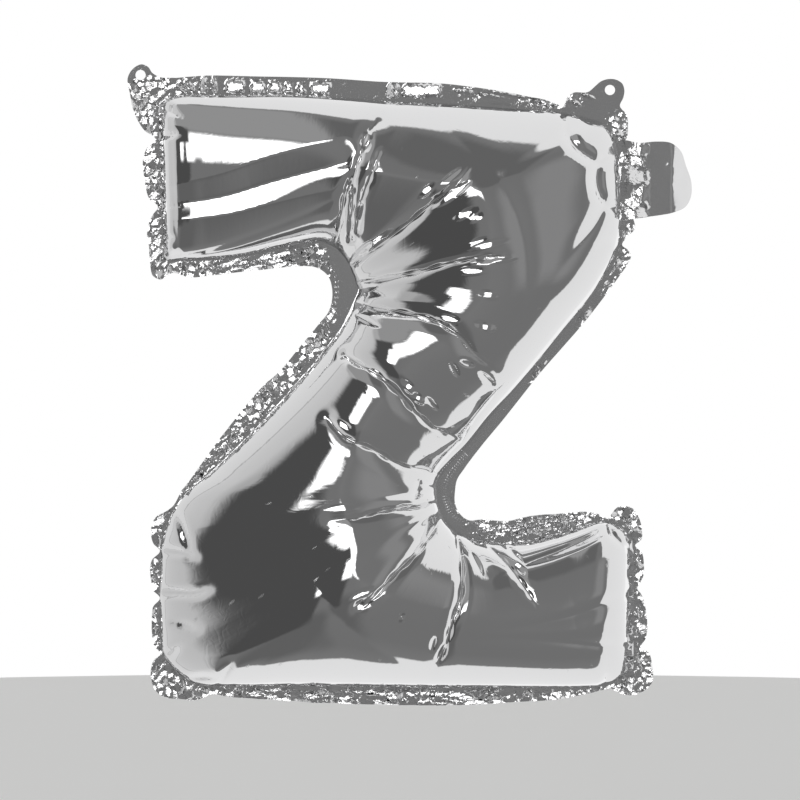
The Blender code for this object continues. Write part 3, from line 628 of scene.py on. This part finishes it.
def triangulated(outer, holes, seats, spacing, seed):
    # triangles between an outer loop and its holes, with loose points inside, and no edge over a seat line
    s = meshingSettings
    points = [outer] + holes
    edges = []
    start = 0
    for loop in points:
        edges += [(start + i, start + (i + 1) % len(loop)) for i in range(len(loop))]
        start += len(loop)
    for seat in seats:
        points.append(seat)
        edges += [(start + i, start + i + 1) for i in range(len(seat) - 1)]
        start += len(seat)
    dice = np.random.default_rng(seed)
    low, high = outer.min(axis=0), outer.max(axis=0)
    rows = np.arange(low[1], high[1], spacing * s["rowShare"])
    gridX, gridZ = np.meshgrid(np.arange(low[0], high[0], spacing), rows)
    gridX = gridX + (np.arange(gridX.shape[0]) % 2)[:, None] * spacing / 2
    filling = np.stack([gridX.ravel(), gridZ.ravel()], axis=1)
    filling = filling + dice.uniform(-s["looseness"], s["looseness"], filling.shape) * spacing
    filling = filling[insideSheet(filling, outer, holes)]
    edgePoints = np.concatenate(points)
    near = np.array([np.min((edgePoints[:, 0] - x) ** 2 + (edgePoints[:, 1] - z) ** 2) for x, z in filling])
    filling = filling[near > (spacing * s["clearShare"]) ** 2]
    everyPoint = [Vector(p) for p in np.concatenate([edgePoints, filling]).tolist()]
    made = geometry.delaunay_2d_cdt(everyPoint, edges, [], 0, s["mergeWithin"])
    flat = np.array([tuple(p) for p in made[0]])
    faces = np.array([list(f) for f in made[2]])
    return flat, faces[insideSheet(flat[faces].mean(axis=1), outer, holes)]


def nearestFacet(u, v, salt=0):
    # how far (u, v) is from the middle of the facet it is on, in facets, and which tilt that has
    tilts = len(borderSettings["facetTilts"]) * 0.999    # never the number past the last one
    best = (math.inf, 0.0, 0.0, 0)
    for i in (math.floor(u) - 1, math.floor(u), math.floor(u) + 1):
        for j in (math.floor(v) - 1, math.floor(v), math.floor(v) + 1):
            shift = noise.cell_vector(Vector((i + 0.5, j + 0.5, borderSettings["seed"] + salt)))
            du, dv = u - i - shift.x, v - j - shift.y
            if du * du + dv * dv < best[0]:
                best = (du * du + dv * dv, du, dv, int(shift.z * tilts))
    return best[1:]


def facetHeight(dx, dz, pick):
    # height at a place on a tilted facet, from its middle
    turn, slope = borderSettings["facetTilts"][pick]
    return -(dx * math.cos(math.radians(turn)) + dz * math.sin(math.radians(turn))) * slope


def patchHeight(flat, patch):
    # a broad fold with steep edges, whose face mirrors the lamp
    wall = borderSettings["wallWidth"]
    stray, strayLength = borderSettings["ragged"]
    x, z, length, width = patch
    dx, dz = flat[:, 0] - x, flat[:, 1] - z
    ragged = np.zeros(len(flat))
    for i in np.flatnonzero((np.abs(dx) < length) & (np.abs(dz) < width)):
        ragged[i] = stray * noise.noise(Vector((flat[i, 0] / strayLength, flat[i, 1] / strayLength, 6)))
    inside = np.clip((length / 2 - np.abs(dx) + ragged) / wall, 0, 1)
    inside *= np.clip((width / 2 - np.abs(dz) + ragged) / wall, 0, 1)
    rise = puckerSettings["lampRise"]
    low = abs(rise[0]) * length / 2 + abs(rise[1]) * width / 2
    return (rise[0] * dx + rise[1] * dz + low) * inside


def crumpleShares(flat):
    # how crushed and how folded the border is at each point, from its zones
    crushed, folded = np.zeros(len(flat)), np.zeros(len(flat))
    for x, z, reach, crush, fold in crumpleZones:
        near = np.exp(-((flat[:, 0] - x) ** 2 + (flat[:, 1] - z) ** 2) / reach ** 2) ** 0.5
        crushed = np.maximum(crushed, crush * near)
        folded = np.maximum(folded, fold * near)
    left, bottom, top, calm = borderSettings["underNeck"]
    under = (flat[:, 0] > left) & (flat[:, 1] > bottom) & (flat[:, 1] < top)
    return np.where(under, calm, crushed), np.where(under, 0, folded)


def borderHeight(flat, seam):
    # each point's height, and how crumpled the foil is there; a Vector's last number picks the noise
    s = borderSettings
    loop = np.concatenate([seam, seam[:1]])
    gap, along = wayDistance(flat, loop)
    runs = runLength(loop)
    along = along * runs[-1]
    crushed, folded = crumpleShares(flat)
    fadeFrom, fadeRise = s["fade"]
    crush = np.clip((crushed - fadeFrom) * fadeRise, 0, 1)
    folds = np.clip((folded - fadeFrom) * fadeRise, 0, 1) * (1 - crush)
    way = np.gradient(loop, axis=0)
    way /= np.linalg.norm(way, axis=1, keepdims=True)
    wayX, wayZ = np.interp(along, runs, way[:, 0]), np.interp(along, runs, way[:, 1])
    size = s["facetSize"]
    foldAlong, foldAcross = s["foldSize"]
    patchAlong, patchAcross = s["patchSize"]
    calmHeight, calmLength = s["calmWave"]
    heights = np.zeros(len(flat))
    for i, (x, z) in enumerate(flat):
        du, dv, pick = nearestFacet(x / size, z / size)
        facet = facetHeight(du * size, dv * size, pick)
        du, dv, pick = nearestFacet(along[i] / foldAlong, gap[i] / foldAcross, 1)
        run, off = du * foldAlong, dv * foldAcross
        fold = facetHeight(run * wayX[i] + off * wayZ[i], run * wayZ[i] - off * wayX[i], pick)
        calm = noise.noise(Vector((x / calmLength, z / calmLength, 3))) * calmHeight
        patchy = noise.noise(Vector((along[i] / patchAlong, gap[i] / patchAcross, 9))) > s["patchLevel"]
        heights[i] = crush[i] * facet + folds[i] * (1.0 if patchy else s["leastFolded"]) * fold + calm
    for patch in borderPatches:
        heights += patchHeight(flat, patch)
    for x1, z1, x2, z2, width in borderFolds:
        near, place = wayDistance(flat, np.array([(x1, z1), (x2, z2)], float))
        lens = np.sqrt(np.sin(math.pi * np.clip(place, 0, 1)))
        heights += s["foldSlope"] * np.maximum(width * lens - near, 0)
    rimFlat, rimWidth = s["seamRim"]
    rim = np.clip((gap - rimFlat) / rimWidth, 0, 1)
    least = s["leastCrumple"]
    return heights * rim, least + (1 - least) * np.maximum(crushed, folded)


def sheetPiece(name, sheet, faces, thickness, material, sharpAngle):
    # a thin closed sheet from flat points in mm, their heights in front of the seam plane and crumple
    flat, height, amount = sheet
    used = np.unique(faces)
    place = {old: new for new, old in enumerate(used.tolist())}
    coords = np.stack([flat[used, 0], -height[used], flat[used, 1]], axis=1) * mm
    mesh = meshFrom(name, coords.tolist(), [tuple(place[v] for v in face) for face in faces.tolist()])
    setCrumple(mesh, amount[used])
    piece = inScene(name, mesh)
    wall = piece.modifiers.new("wall", "SOLIDIFY")
    wall.thickness = thickness * mm
    wall.offset = 0.0
    made = evaluatedMesh(piece)
    piece.modifiers.remove(wall)
    piece.data = made
    made.name = name
    made.shade_smooth()
    made.set_sharp_from_angle(angle=math.radians(sharpAngle))
    made.materials.clear()
    made.materials.append(material)
    return piece


def borderPieces(material):
    # the two ears beyond their seat lines, and the rest of the border in one piece
    s = borderSettings
    spacing = s["spacing"]
    outline = [point for points in borderOutline.values() for point in points]
    outer = outlineLoop(outline, spacing, s["closest"])
    holes = [thinned(seamLoop(s["underFilms"]), spacing * meshingSettings["edgeSpacing"])]
    seats = []
    for x, z, radius, seatStart, seatEnd in earTable.values():
        holes.append(ringPoints(x, z, radius, s["holePoints"]))
        seats.append(resample(np.array([seatStart, seatEnd], float), s["seatPoints"]))
    flat, faces = triangulated(outer, holes, seats, spacing, s["seed"])
    sheet = (flat, *borderHeight(flat, thinned(seamLoop(), s["seamSpacing"])))
    middle = flat[faces].mean(axis=1)
    rest = np.ones(len(faces), bool)
    ears = {}
    for name, (x, z, radius, seatStart, seatEnd) in earTable.items():
        a, b = np.array(seatStart), np.array(seatEnd)
        side = (b - a)[0] * (middle - a)[:, 1] - (b - a)[1] * (middle - a)[:, 0]
        ears[name] = (side > 0) & (np.hypot(middle[:, 0] - x, middle[:, 1] - z) < s["earReach"])
        rest &= ~ears[name]
    chosen = {**ears, "weldedBorder": rest}
    return [sheetPiece(name, sheet, faces[picked], s["thickness"], material, s["sharpAngle"])
            for name, picked in chosen.items()]


# Rows of small pleats where the welded film gathers: the path in mm, and how the row is made
pleatRows = {
    # name: (spacing, shortest, longest, width, turn from the path in degrees, points), in mm
    "upperCorner": (2.8, 2, 3.6, 1.9, 90,
                    [(-36, -99), (-29.5, -100.5), (-24.8, -104.5), (-22.2, -110), (-21.6, -118),
                     (-22.6, -126.5)]),
    "lowerCorner": (1.5, 1.8, 3.2, 1.1, 90,
                    [(51, -209), (44, -217), (39.6, -224), (38.8, -231), (40.5, -238), (46, -245),
                     (53, -249)]),
    "barBelow": (2.4, 2.2, 4, 1.5, 70, [(-96, -104.5), (-76, -102.5), (-58, -99), (-46, -97)]),
    "rightBarAbove": (2.8, 3, 6, 1.7, 25, [(60, -250.5), (78, -250), (96, -247.5), (112, -244.5)]),
}
pleatSettings = {
    "tallness": 1.2,    # times its width
    "uneven": 0.3,      # how much narrower some are
    "rings": 10,        # points along one pleat
    "blunt": 0.04,      # the width at its tips, as a share
    "crumple": 0.3,
    "seed": 3,
}


def pleatShape(material):
    # one pleat, a unit long, wide and thick: a lens that stands out on both faces of the foil
    rings = pleatSettings["rings"]
    coords, faces = [], []
    for k in range(rings + 1):
        x = k / rings - 0.5
        half = 0.5 * max(math.sqrt(1 - (2 * x) ** 2), pleatSettings["blunt"])
        coords += [(x, 0, -half), (x, -half, 0), (x, 0, half), (x, half, 0)]
    for a in range(0, rings * 4, 4):
        faces += [(a + j, a + (j + 1) % 4, a + 4 + (j + 1) % 4, a + 4 + j) for j in range(4)]
    faces += [(0, 3, 2, 1), tuple(range(rings * 4, rings * 4 + 4))]
    mesh = meshFrom("pleatShape", coords, faces)
    mesh.materials.append(material)
    return bpy.data.objects.new("pleatShape", mesh)


def pleatTree():
    # pleats along a path, each turned from it, of uneven length and width
    tree = bpy.data.node_groups.new("seamPleats", "GeometryNodeTree")
    kinds = {"Geometry": "Geometry", "Pleat": "Object", "Spacing": "Float", "Shortest": "Float",
             "Longest": "Float", "Width": "Float", "Tallness": "Float", "Uneven": "Float", "Turn": "Float",
             "Seed": "Int", "Material": "Material"}
    for name, kind in kinds.items():
        tree.interface.new_socket(name, in_out="INPUT", socket_type="NodeSocket" + kind)
    tree.interface.new_socket("Geometry", in_out="OUTPUT", socket_type="NodeSocketGeometry")
    given = placed(tree, "NodeGroupInput").outputs
    path = placed(tree, "GeometryNodeMeshToCurve", Mesh=given["Geometry"])
    spaced = placed(tree, "GeometryNodeResampleCurve", Curve=path.outputs[0])
    spaced.mode = "LENGTH"
    feed(tree, spaced.inputs["Length"], given["Spacing"])
    points = placed(tree, "GeometryNodeCurveToPoints", Curve=spaced.outputs[0])
    points.mode = "EVALUATED"
    way = placed(tree, "ShaderNodeSeparateXYZ", Vector=points.outputs["Tangent"])
    heading = mathNode(tree, "ARCTAN2", way.outputs["Z"], way.outputs["X"])
    turn = mathNode(tree, "MULTIPLY", mathNode(tree, "ADD", heading, given["Turn"]), -1.0)
    turned = placed(tree, "ShaderNodeCombineXYZ", Y=turn)
    length = placed(tree, "FunctionNodeRandomValue", Seed=given["Seed"])
    feed(tree, length.inputs[2], given["Shortest"])
    feed(tree, length.inputs[3], given["Longest"])
    part = placed(tree, "FunctionNodeRandomValue", Seed=mathNode(tree, "ADD", given["Seed"], 1))
    feed(tree, part.inputs[2], mathNode(tree, "SUBTRACT", 1.0, given["Uneven"]))
    feed(tree, part.inputs[3], 1.0)
    width = mathNode(tree, "MULTIPLY", given["Width"], part.outputs[1])
    tall = mathNode(tree, "MULTIPLY", width, given["Tallness"])
    size = placed(tree, "ShaderNodeCombineXYZ", X=length.outputs[1], Y=tall, Z=width)
    pleat = placed(tree, "GeometryNodeObjectInfo", Object=given["Pleat"])
    rows = placed(tree, "GeometryNodeInstanceOnPoints", Points=points.outputs["Points"],
                  Instance=pleat.outputs["Geometry"], Rotation=turned.outputs[0], Scale=size.outputs[0])
    real = placed(tree, "GeometryNodeRealizeInstances", Geometry=rows.outputs[0])
    finished = placed(tree, "GeometryNodeSetMaterial", Geometry=real.outputs[0], Material=given["Material"])
    placed(tree, "NodeGroupOutput", Geometry=finished.outputs[0])
    return tree


def pleatPiece(material):
    # every row of pleats, joined into one piece
    s = pleatSettings
    tree = pleatTree()
    shape = pleatShape(material)
    sockets = {item.name: item.identifier for item in tree.interface.items_tree if item.in_out == "INPUT"}
    joined = bmesh.new()
    for spacing, shortest, longest, width, turn, points in pleatRows.values():
        way = [(x * mm, 0, z * mm) for x, z in smoothWay(points)]
        mesh = bpy.data.meshes.new("pleatPath")
        mesh.from_pydata(way, [(k, k + 1) for k in range(len(way) - 1)], [])
        row = inScene("pleatPath", mesh)
        maker = row.modifiers.new("seamPleats", "NODES")
        maker.node_group = tree
        values = {"Pleat": shape, "Spacing": spacing * mm, "Shortest": shortest * mm,
                  "Longest": longest * mm, "Width": width * mm, "Tallness": s["tallness"],
                  "Uneven": s["uneven"], "Turn": math.radians(turn), "Seed": s["seed"],
                  "Material": material}
        for name, value in values.items():
            maker[sockets[name]] = value
        made = evaluatedMesh(row)
        joined.from_mesh(made)
        row.modifiers.remove(maker)
        bpy.data.objects.remove(row)
        bpy.data.meshes.remove(made)
    mesh = bpy.data.meshes.new("seamPleats")
    joined.to_mesh(mesh)
    joined.free()
    mesh.materials.clear()
    mesh.materials.append(material)
    setCrumple(mesh, np.full(len(mesh.vertices), s["crumple"]))
    bpy.data.objects.remove(shape)
    return inScene("seamPleats", mesh)


# The filler neck: two films from the crumpled root at the border to the open mouth
neckOutline = [
    # x, z in mm, anticlockwise from the lower root
    (138.6, -78), (144.5, -76.6), (151.5, -75.6), (159, -74.6), (167.2, -73), (175.2, -69), (178.2, -63.2),
    (178.4, -55.9), (175, -46), (171.9, -38.2), (166.6, -34.2), (157.1, -33.2), (149, -34), (138.6, -32.5),
]
neckSettings = {
    "thickness": 0.12,          # mm, one film
    "spacing": 1.1,             # mm between the points of its mesh
    "closest": 0.6,             # the least distance between two points of its edge, as a share
    "sharpAngle": 24,           # degrees, flatter folds are shaded smooth
    "rootEnds": (154.5, 150),   # x from which the root is crumpled, and where it is so in full
    "rootCrumple": 1.8,         # mm that its facets stand out by
    "rootFacet": 8,             # mm, their size
    "rootEdge": (138, 142),     # x between which they rise from the border
    "rootLeast": 0.35,          # how high they stand at the border, as a share
    "out": (153, 165),          # x between which the films get slack
    "waves": ((0.5, 9, 16, 6), (0.3, 5, 4, 8)),    # height, length and width in mm, which noise
    "rippled": (-66, -72),      # z between which the fine slanting ripples of the bottom start
    "ripple": (0.22, 1.6, 6, 3),
    "curlFrom": 165.5,          # x where the mouth starts to curl back
    "curlSlope": 0.86,
    "curlSoft": 2.5,            # mm over which the curl starts
    "mouthGap": 0.5,            # mm between the films at the root
    "mouthWider": 1.4,          # how much more at the mouth
    "smoothFrom": (158, 8, 0.08),    # x where the fine crumple ends, over which length, what is left
    "seed": 11,
}


def neckHeight(flat, side):
    # height in front of the seam plane: side 1 is the front film, -1 the back one
    s = neckSettings
    size = s["rootFacet"]
    rippleHeight, rippleLength, rippleWidth, rippleNoise = s["ripple"]
    heights = np.zeros(len(flat))
    for i, (x, z) in enumerate(flat):
        du, dv, pick = nearestFacet(x / size, z / size, 2 + side)
        stand = s["rootLeast"] + (1 - s["rootLeast"]) * share(x, *s["rootEdge"])
        crumple = facetHeight(du * size, dv * size, pick) + s["rootCrumple"]
        root = crumple * share(x, *s["rootEnds"]) * stand
        out = share(x, *s["out"])
        wave = sum(height * noise.noise(Vector((x / length, z / width, kind)))
                   for height, length, width, kind in s["waves"]) * out
        slanting = Vector(((x + z) / rippleLength, (x - z) / rippleWidth, rippleNoise))
        wave += rippleHeight * noise.noise(slanting) * share(z, *s["rippled"]) * out
        curl = max(x - s["curlFrom"], 0)
        curl = s["curlSlope"] * curl * curl / (curl + s["curlSoft"])
        puff = s["mouthGap"] * (1 + s["mouthWider"] * out)
        heights[i] = side * (puff / 2 + max(root, 0)) + wave - curl
    return heights


def neckPieces(material):
    s = neckSettings
    outer = outlineLoop(neckOutline, s["spacing"], s["closest"])
    smoothX, fadeLength, least = s["smoothFrom"]
    pieces = []
    for name, side in (("neckFilmFront", 1), ("neckFilmBack", -1)):
        flat, faces = triangulated(outer, [], [], s["spacing"], s["seed"] + side)
        amount = np.clip((smoothX - flat[:, 0]) / fadeLength, least, 1)
        sheet = (flat, neckHeight(flat, side), amount)
        pieces.append(sheetPiece(name, sheet, faces, s["thickness"], material, s["sharpAngle"]))
    return pieces


# How the foil's surface looks close up, lengths in mm
surfaceInputs = ("Ripple Size", "Ripple Height", "Crumple Size", "Crumple Height", "Smudge", "Roughness")
surfaceSettings = {
    # the values of surfaceInputs
    "panelFoil": (2.6, 0.016, 9, 0.03, 0.03, 0.02),
    "borderFoil": (2.6, 0, 2.2, 0.35, 0.04, 0.04),
    "neckFoil": (6, 0.02, 4, 0.5, 0.06, 0.07),
}
foilColour = (0.93, 0.93, 0.935, 1)
metalShare = {"panelFoil": 1.0, "borderFoil": 0.97, "neckFoil": 0.97}
noiseSettings = {
    "rippleDetail": 2,
    "crumpleDetail": 1.5,
    "crumpleDistortion": 1.2,
    "ridgeRound": 0.0002,    # how round the ridges of the crumple are
    "smudgeScale": 28,       # smudges in a metre
}


def filmSurface():
    # the group that every foil shares: ripples along the stretch, crumple, and smudges
    s = noiseSettings
    group = bpy.data.node_groups.new("filmSurface", "ShaderNodeTree")
    for name in surfaceInputs:
        group.interface.new_socket(name, in_out="INPUT", socket_type="NodeSocketFloat")
    for name in ("Height", "Roughness"):
        group.interface.new_socket(name, in_out="OUTPUT", socket_type="NodeSocketFloat")
    given = placed(group, "NodeGroupInput").outputs

    def scaled(vector, size):
        node = placed(group, "ShaderNodeVectorMath")
        node.operation = "SCALE"
        feed(group, node.inputs[0], vector)
        feed(group, node.inputs["Scale"], mathNode(group, "DIVIDE", 1 / mm, size))
        return node.outputs[0]

    def noiseAt(vector, **inputs):
        return placed(group, "ShaderNodeTexNoise", Vector=vector, **inputs).outputs[0]

    stretch = placed(group, "ShaderNodeUVMap")
    stretch.uv_map = "stretch"
    coord = placed(group, "ShaderNodeTexCoord").outputs["Object"]
    ripple = noiseAt(scaled(stretch.outputs[0], given["Ripple Size"]), Scale=1.0, Detail=s["rippleDetail"])
    folds = noiseAt(scaled(coord, given["Crumple Size"]), Scale=1.0, Detail=s["crumpleDetail"],
                    Distortion=s["crumpleDistortion"])
    ridge = mathNode(group, "SUBTRACT", folds, 0.5)
    ridge = mathNode(group, "ADD", mathNode(group, "MULTIPLY", ridge, ridge), s["ridgeRound"])
    ridge = mathNode(group, "SQRT", ridge)
    amount = placed(group, "ShaderNodeAttribute")
    amount.attribute_name = "crumple"
    crumple = mathNode(group, "MULTIPLY", ridge, amount.outputs["Fac"])
    crumple = mathNode(group, "MULTIPLY", crumple, given["Crumple Height"])
    ripple = mathNode(group, "MULTIPLY", ripple, given["Ripple Height"])
    smudge = mathNode(group, "MULTIPLY", noiseAt(coord, Scale=s["smudgeScale"]), given["Smudge"])
    placed(group, "NodeGroupOutput", Height=mathNode(group, "ADD", ripple, crumple),
           Roughness=mathNode(group, "ADD", smudge, given["Roughness"]))
    return group


def foilMaterial(name, group):
    material = bpy.data.materials.new(name)
    material.use_nodes = True
    tree = material.node_tree
    shader = tree.nodes["Principled BSDF"]
    shader.inputs["Base Color"].default_value = foilColour
    shader.inputs["Metallic"].default_value = metalShare[name]
    surface = placed(tree, "ShaderNodeGroup")
    surface.node_tree = group
    for socket, value in zip(surfaceInputs, surfaceSettings[name]):
        feed(tree, surface.inputs[socket], value)
    bump = placed(tree, "ShaderNodeBump", Distance=mm, Height=surface.outputs["Height"])
    feed(tree, shader.inputs["Normal"], bump.outputs[0])
    feed(tree, shader.inputs["Roughness"], surface.outputs["Roughness"])
    return material


# The studio that the foil mirrors. Directions are seen from the balloon: the angle away from the
# camera in degrees, and the turn around that line, anticlockwise from the reader's right.
studioSettings = {
    "wallSoft": (1.5, 3.5),          # half the width of the walls' front edges, elsewhere and left, degrees
    "leftWall": (40, 70),            # degrees from the left over which the left wall fades out
    "behind": (148, 154, 0.12),      # the balloon's own shadow on the backdrop: from, to, level
}
wallStartTable = [
    # turn, angle from the camera at which the bright wall starts
    (0, 66), (30, 70), (50, 57), (64, 68), (76, 77), (97, 80), (118, 80), (135, 72), (150, 62), (165, 55),
    (180, 53), (205, 56), (225, 66), (245, 76), (270, 80), (300, 79), (325, 64), (340, 64), (360, 66),
]
levelTables = {
    # brightness of the studio against the angle from the camera
    "front": [(0, 0.185), (20, 0.17), (40, 0.165), (60, 0.165), (80, 0.19), (95, 0.22)],
    "wall": [(50, 0.74), (110, 0.80), (128, 0.84), (134, 0.95)],
    "wallLeft": [(50, 0.48), (62, 0.53), (80, 0.60), (82, 0.62), (83, 0.36), (84, 0.66), (128, 0.76),
                 (134, 0.95)],
}
panelTable = {
    # degrees right and up of the camera, half width, half height, softness, level
    "dimFloor": (-24, -40, 14, 26, 8, 0.12),
    "greyScreen": (-36, 54, 27, 22, 3, 0.29),
    "paleScreen": (-55, 38, 12, 30, 2, 0.40),
    "rightScreen": (38, 16, 14, 26, 8, 0.235),
    "dimCeiling": (4, 58, 11, 14, 4, 0.125),
    "blackCurtain": (-39, 2, 12, 31, 3, 0.07),
    "lampEdge": (-27.5, 15.5, 5.5, 5.5, 2, 2.4),
    "lamp": (-17.2, 21.3, 9, 8, 3.5, 2.6),
}


def studioWorld():
    world = bpy.data.worlds.new("studio")
    bpy.context.scene.world = world
    world.use_nodes = True
    tree = world.node_tree
    tree.nodes.clear()

    def maths(kind, *values):
        return mathNode(tree, kind, *values)

    def smoothStep(value, low, high):
        node = placed(tree, "ShaderNodeMapRange", Value=value, From_Min=low, From_Max=high)
        node.interpolation_type = "SMOOTHSTEP"
        return node.outputs["Result"]

    def mixTo(level, target, part):
        kept = maths("MULTIPLY", level, maths("SUBTRACT", 1.0, part))
        return maths("ADD", kept, maths("MULTIPLY", part, target))

    def tableCurve(value, table, most, scale=1.0):
        # a straight-line curve through a table, as a colour ramp over 0 to most
        node = placed(tree, "ShaderNodeValToRGB")
        feed(tree, node.inputs[0], maths("DIVIDE", value, most))
        ramp = node.color_ramp
        while len(ramp.elements) < len(table):
            ramp.elements.new(0.5)
        for element, (at, level) in zip(ramp.elements, table):
            element.position = at / most
            element.color = (level / scale, level / scale, level / scale, 1)
        split = placed(tree, "ShaderNodeSeparateColor", Color=node.outputs[0])
        return maths("MULTIPLY", split.outputs[0], scale)

    coord = placed(tree, "ShaderNodeTexCoord")
    x, y, z = placed(tree, "ShaderNodeSeparateXYZ", Vector=coord.outputs["Generated"]).outputs
    degrees = 180 / math.pi
    fromCamera = maths("MULTIPLY", maths("ARCCOSINE", maths("MULTIPLY", y, -1.0)), degrees)
    turn = maths("MULTIPLY", maths("ARCTAN2", z, x), degrees)
    turn = maths("ADD", turn, maths("MULTIPLY", maths("LESS_THAN", turn, 0.0), 360.0))
    aside = maths("SQRT", maths("ADD", maths("MULTIPLY", x, x), maths("MULTIPLY", z, z)))
    aside = maths("DIVIDE", fromCamera, maths("MAXIMUM", aside, 1e-5))
    right, up = maths("MULTIPLY", aside, x), maths("MULTIPLY", aside, z)

    def patch(rightAt, upAt, halfWidth, halfHeight, soft):
        # how much of a panel is at each direction
        parts = []
        for value, middle, half in ((right, rightAt, halfWidth), (up, upAt, halfHeight)):
            away = maths("ABSOLUTE", maths("SUBTRACT", value, middle))
            parts.append(maths("SUBTRACT", 1.0, smoothStep(away, half - soft, half + soft)))
        return maths("MULTIPLY", *parts)

    s = studioSettings
    start = tableCurve(turn, wallStartTable, 360.0, 180.0)
    fromLeft = maths("ABSOLUTE", maths("SUBTRACT", turn, 180.0))
    leftPart = maths("SUBTRACT", 1.0, smoothStep(fromLeft, *s["leftWall"]))
    curves = {name: tableCurve(fromCamera, table, 180.0) for name, table in levelTables.items()}
    level = curves["front"]
    for *place, panelLevel in panelTable.values():
        level = mixTo(level, panelLevel, patch(*place))
    wallLevel = mixTo(curves["wall"], curves["wallLeft"], leftPart)
    softElse, softLeft = s["wallSoft"]
    soft = maths("ADD", softElse, maths("MULTIPLY", leftPart, softLeft - softElse))
    wall = smoothStep(fromCamera, maths("SUBTRACT", start, soft), maths("ADD", start, soft))
    level = mixTo(level, wallLevel, wall)
    behindStart, behindEnd, behindLevel = s["behind"]
    level = mixTo(level, behindLevel, smoothStep(fromCamera, behindStart, behindEnd))
    seen = placed(tree, "ShaderNodeLightPath").outputs["Is Camera Ray"]
    shade = placed(tree, "ShaderNodeBackground", Strength=mixTo(level, 1.0, seen))
    shade.inputs["Color"].default_value = (1, 1, 1, 1)
    placed(tree, "ShaderNodeOutputWorld", Surface=shade.outputs[0])


cameraSettings = {
    "distance": 1.6,                    # metres in front of the seam plane
    "aim": (0.0139, -0.1783),           # x and z that it looks at
    "frameWidth": 800 * 0.36 / 641,     # metres across the frame; 0.36 m of letter are 641 of 800 pixels
    "sensor": 36,                       # mm
}


def makeCamera():
    s = cameraSettings
    data = bpy.data.cameras.new("camera")
    camera = inScene("camera", data)
    bpy.context.scene.camera = camera
    data.sensor_width = s["sensor"]
    data.lens = s["sensor"] * s["distance"] / s["frameWidth"]
    aimX, aimZ = s["aim"]
    camera.location = (aimX, -s["distance"], aimZ)
    camera.rotation_euler = (math.pi / 2, 0, 0)


floorSettings = {
    "level": -0.62,              # metres
    "radius": 3.0,               # metres
    "sides": 96,
    "grainScale": 60,            # grains in a metre
    "roughness": (0.6, 0.75),    # least and most
    "colour": (0.95, 0.95, 0.94, 1),
}


def makeFloor():
    s = floorSettings
    turn = np.arange(s["sides"]) * 2 * math.pi / s["sides"]
    coords = [(s["radius"] * math.cos(a), s["radius"] * math.sin(a), s["level"]) for a in turn]
    mesh = bpy.data.meshes.new("floor")
    mesh.from_pydata(coords, [], [tuple(range(s["sides"]))])
    pale = bpy.data.materials.new("paleFloor")
    pale.use_nodes = True
    tree = pale.node_tree
    shader = tree.nodes["Principled BSDF"]
    grain = placed(tree, "ShaderNodeTexNoise", Scale=s["grainScale"])
    smoothest, roughest = s["roughness"]
    rough = placed(tree, "ShaderNodeMapRange", Value=grain.outputs[0], To_Min=smoothest, To_Max=roughest)
    feed(tree, shader.inputs["Roughness"], rough.outputs[0])
    shader.inputs["Base Color"].default_value = s["colour"]
    mesh.materials.append(pale)
    floor = inScene("floor", mesh)
    floor.visible_glossy = False    # the foil mirrors the studio's own tables instead


studioWorld()
makeCamera()
bpy.context.scene.view_settings.view_transform = "Standard"
surfaceGroup = filmSurface()
panelFoil = foilMaterial("panelFoil", surfaceGroup)
borderFoil = foilMaterial("borderFoil", surfaceGroup)
neckFoil = foilMaterial("neckFoil", surfaceGroup)
print("made the studio, the camera and the foil")

smooth = smoothPillow()
for name, side, node, phase in (("frontFilm", -1, "front_panel", 0.0), ("backFilm", 1, "back_panel", 2.0)):
    piece = filmPiece(name, creased(smooth, phase), side, panelFoil)
    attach(piece, "envelope")
    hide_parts(node)
    print("made", name, len(piece.data.polygons), "faces")

for piece, node in zip(borderPieces(borderFoil), ("hang_tab_left", "hang_tab_right", "seam_border")):
    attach(piece, "envelope")
    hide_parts(node)
    print("made", piece.name, len(piece.data.polygons), "faces")

pleats = pleatPiece(borderFoil)
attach(pleats, "envelope")
print("made", pleats.name, len(pleats.data.polygons), "faces")

for piece, nodes in zip(neckPieces(neckFoil), (("neck_root", "neck_front"), ("neck_back",))):
    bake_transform(piece)
    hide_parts(*nodes)
    print("made", piece.name, len(piece.data.polygons), "faces")

makeFloor()
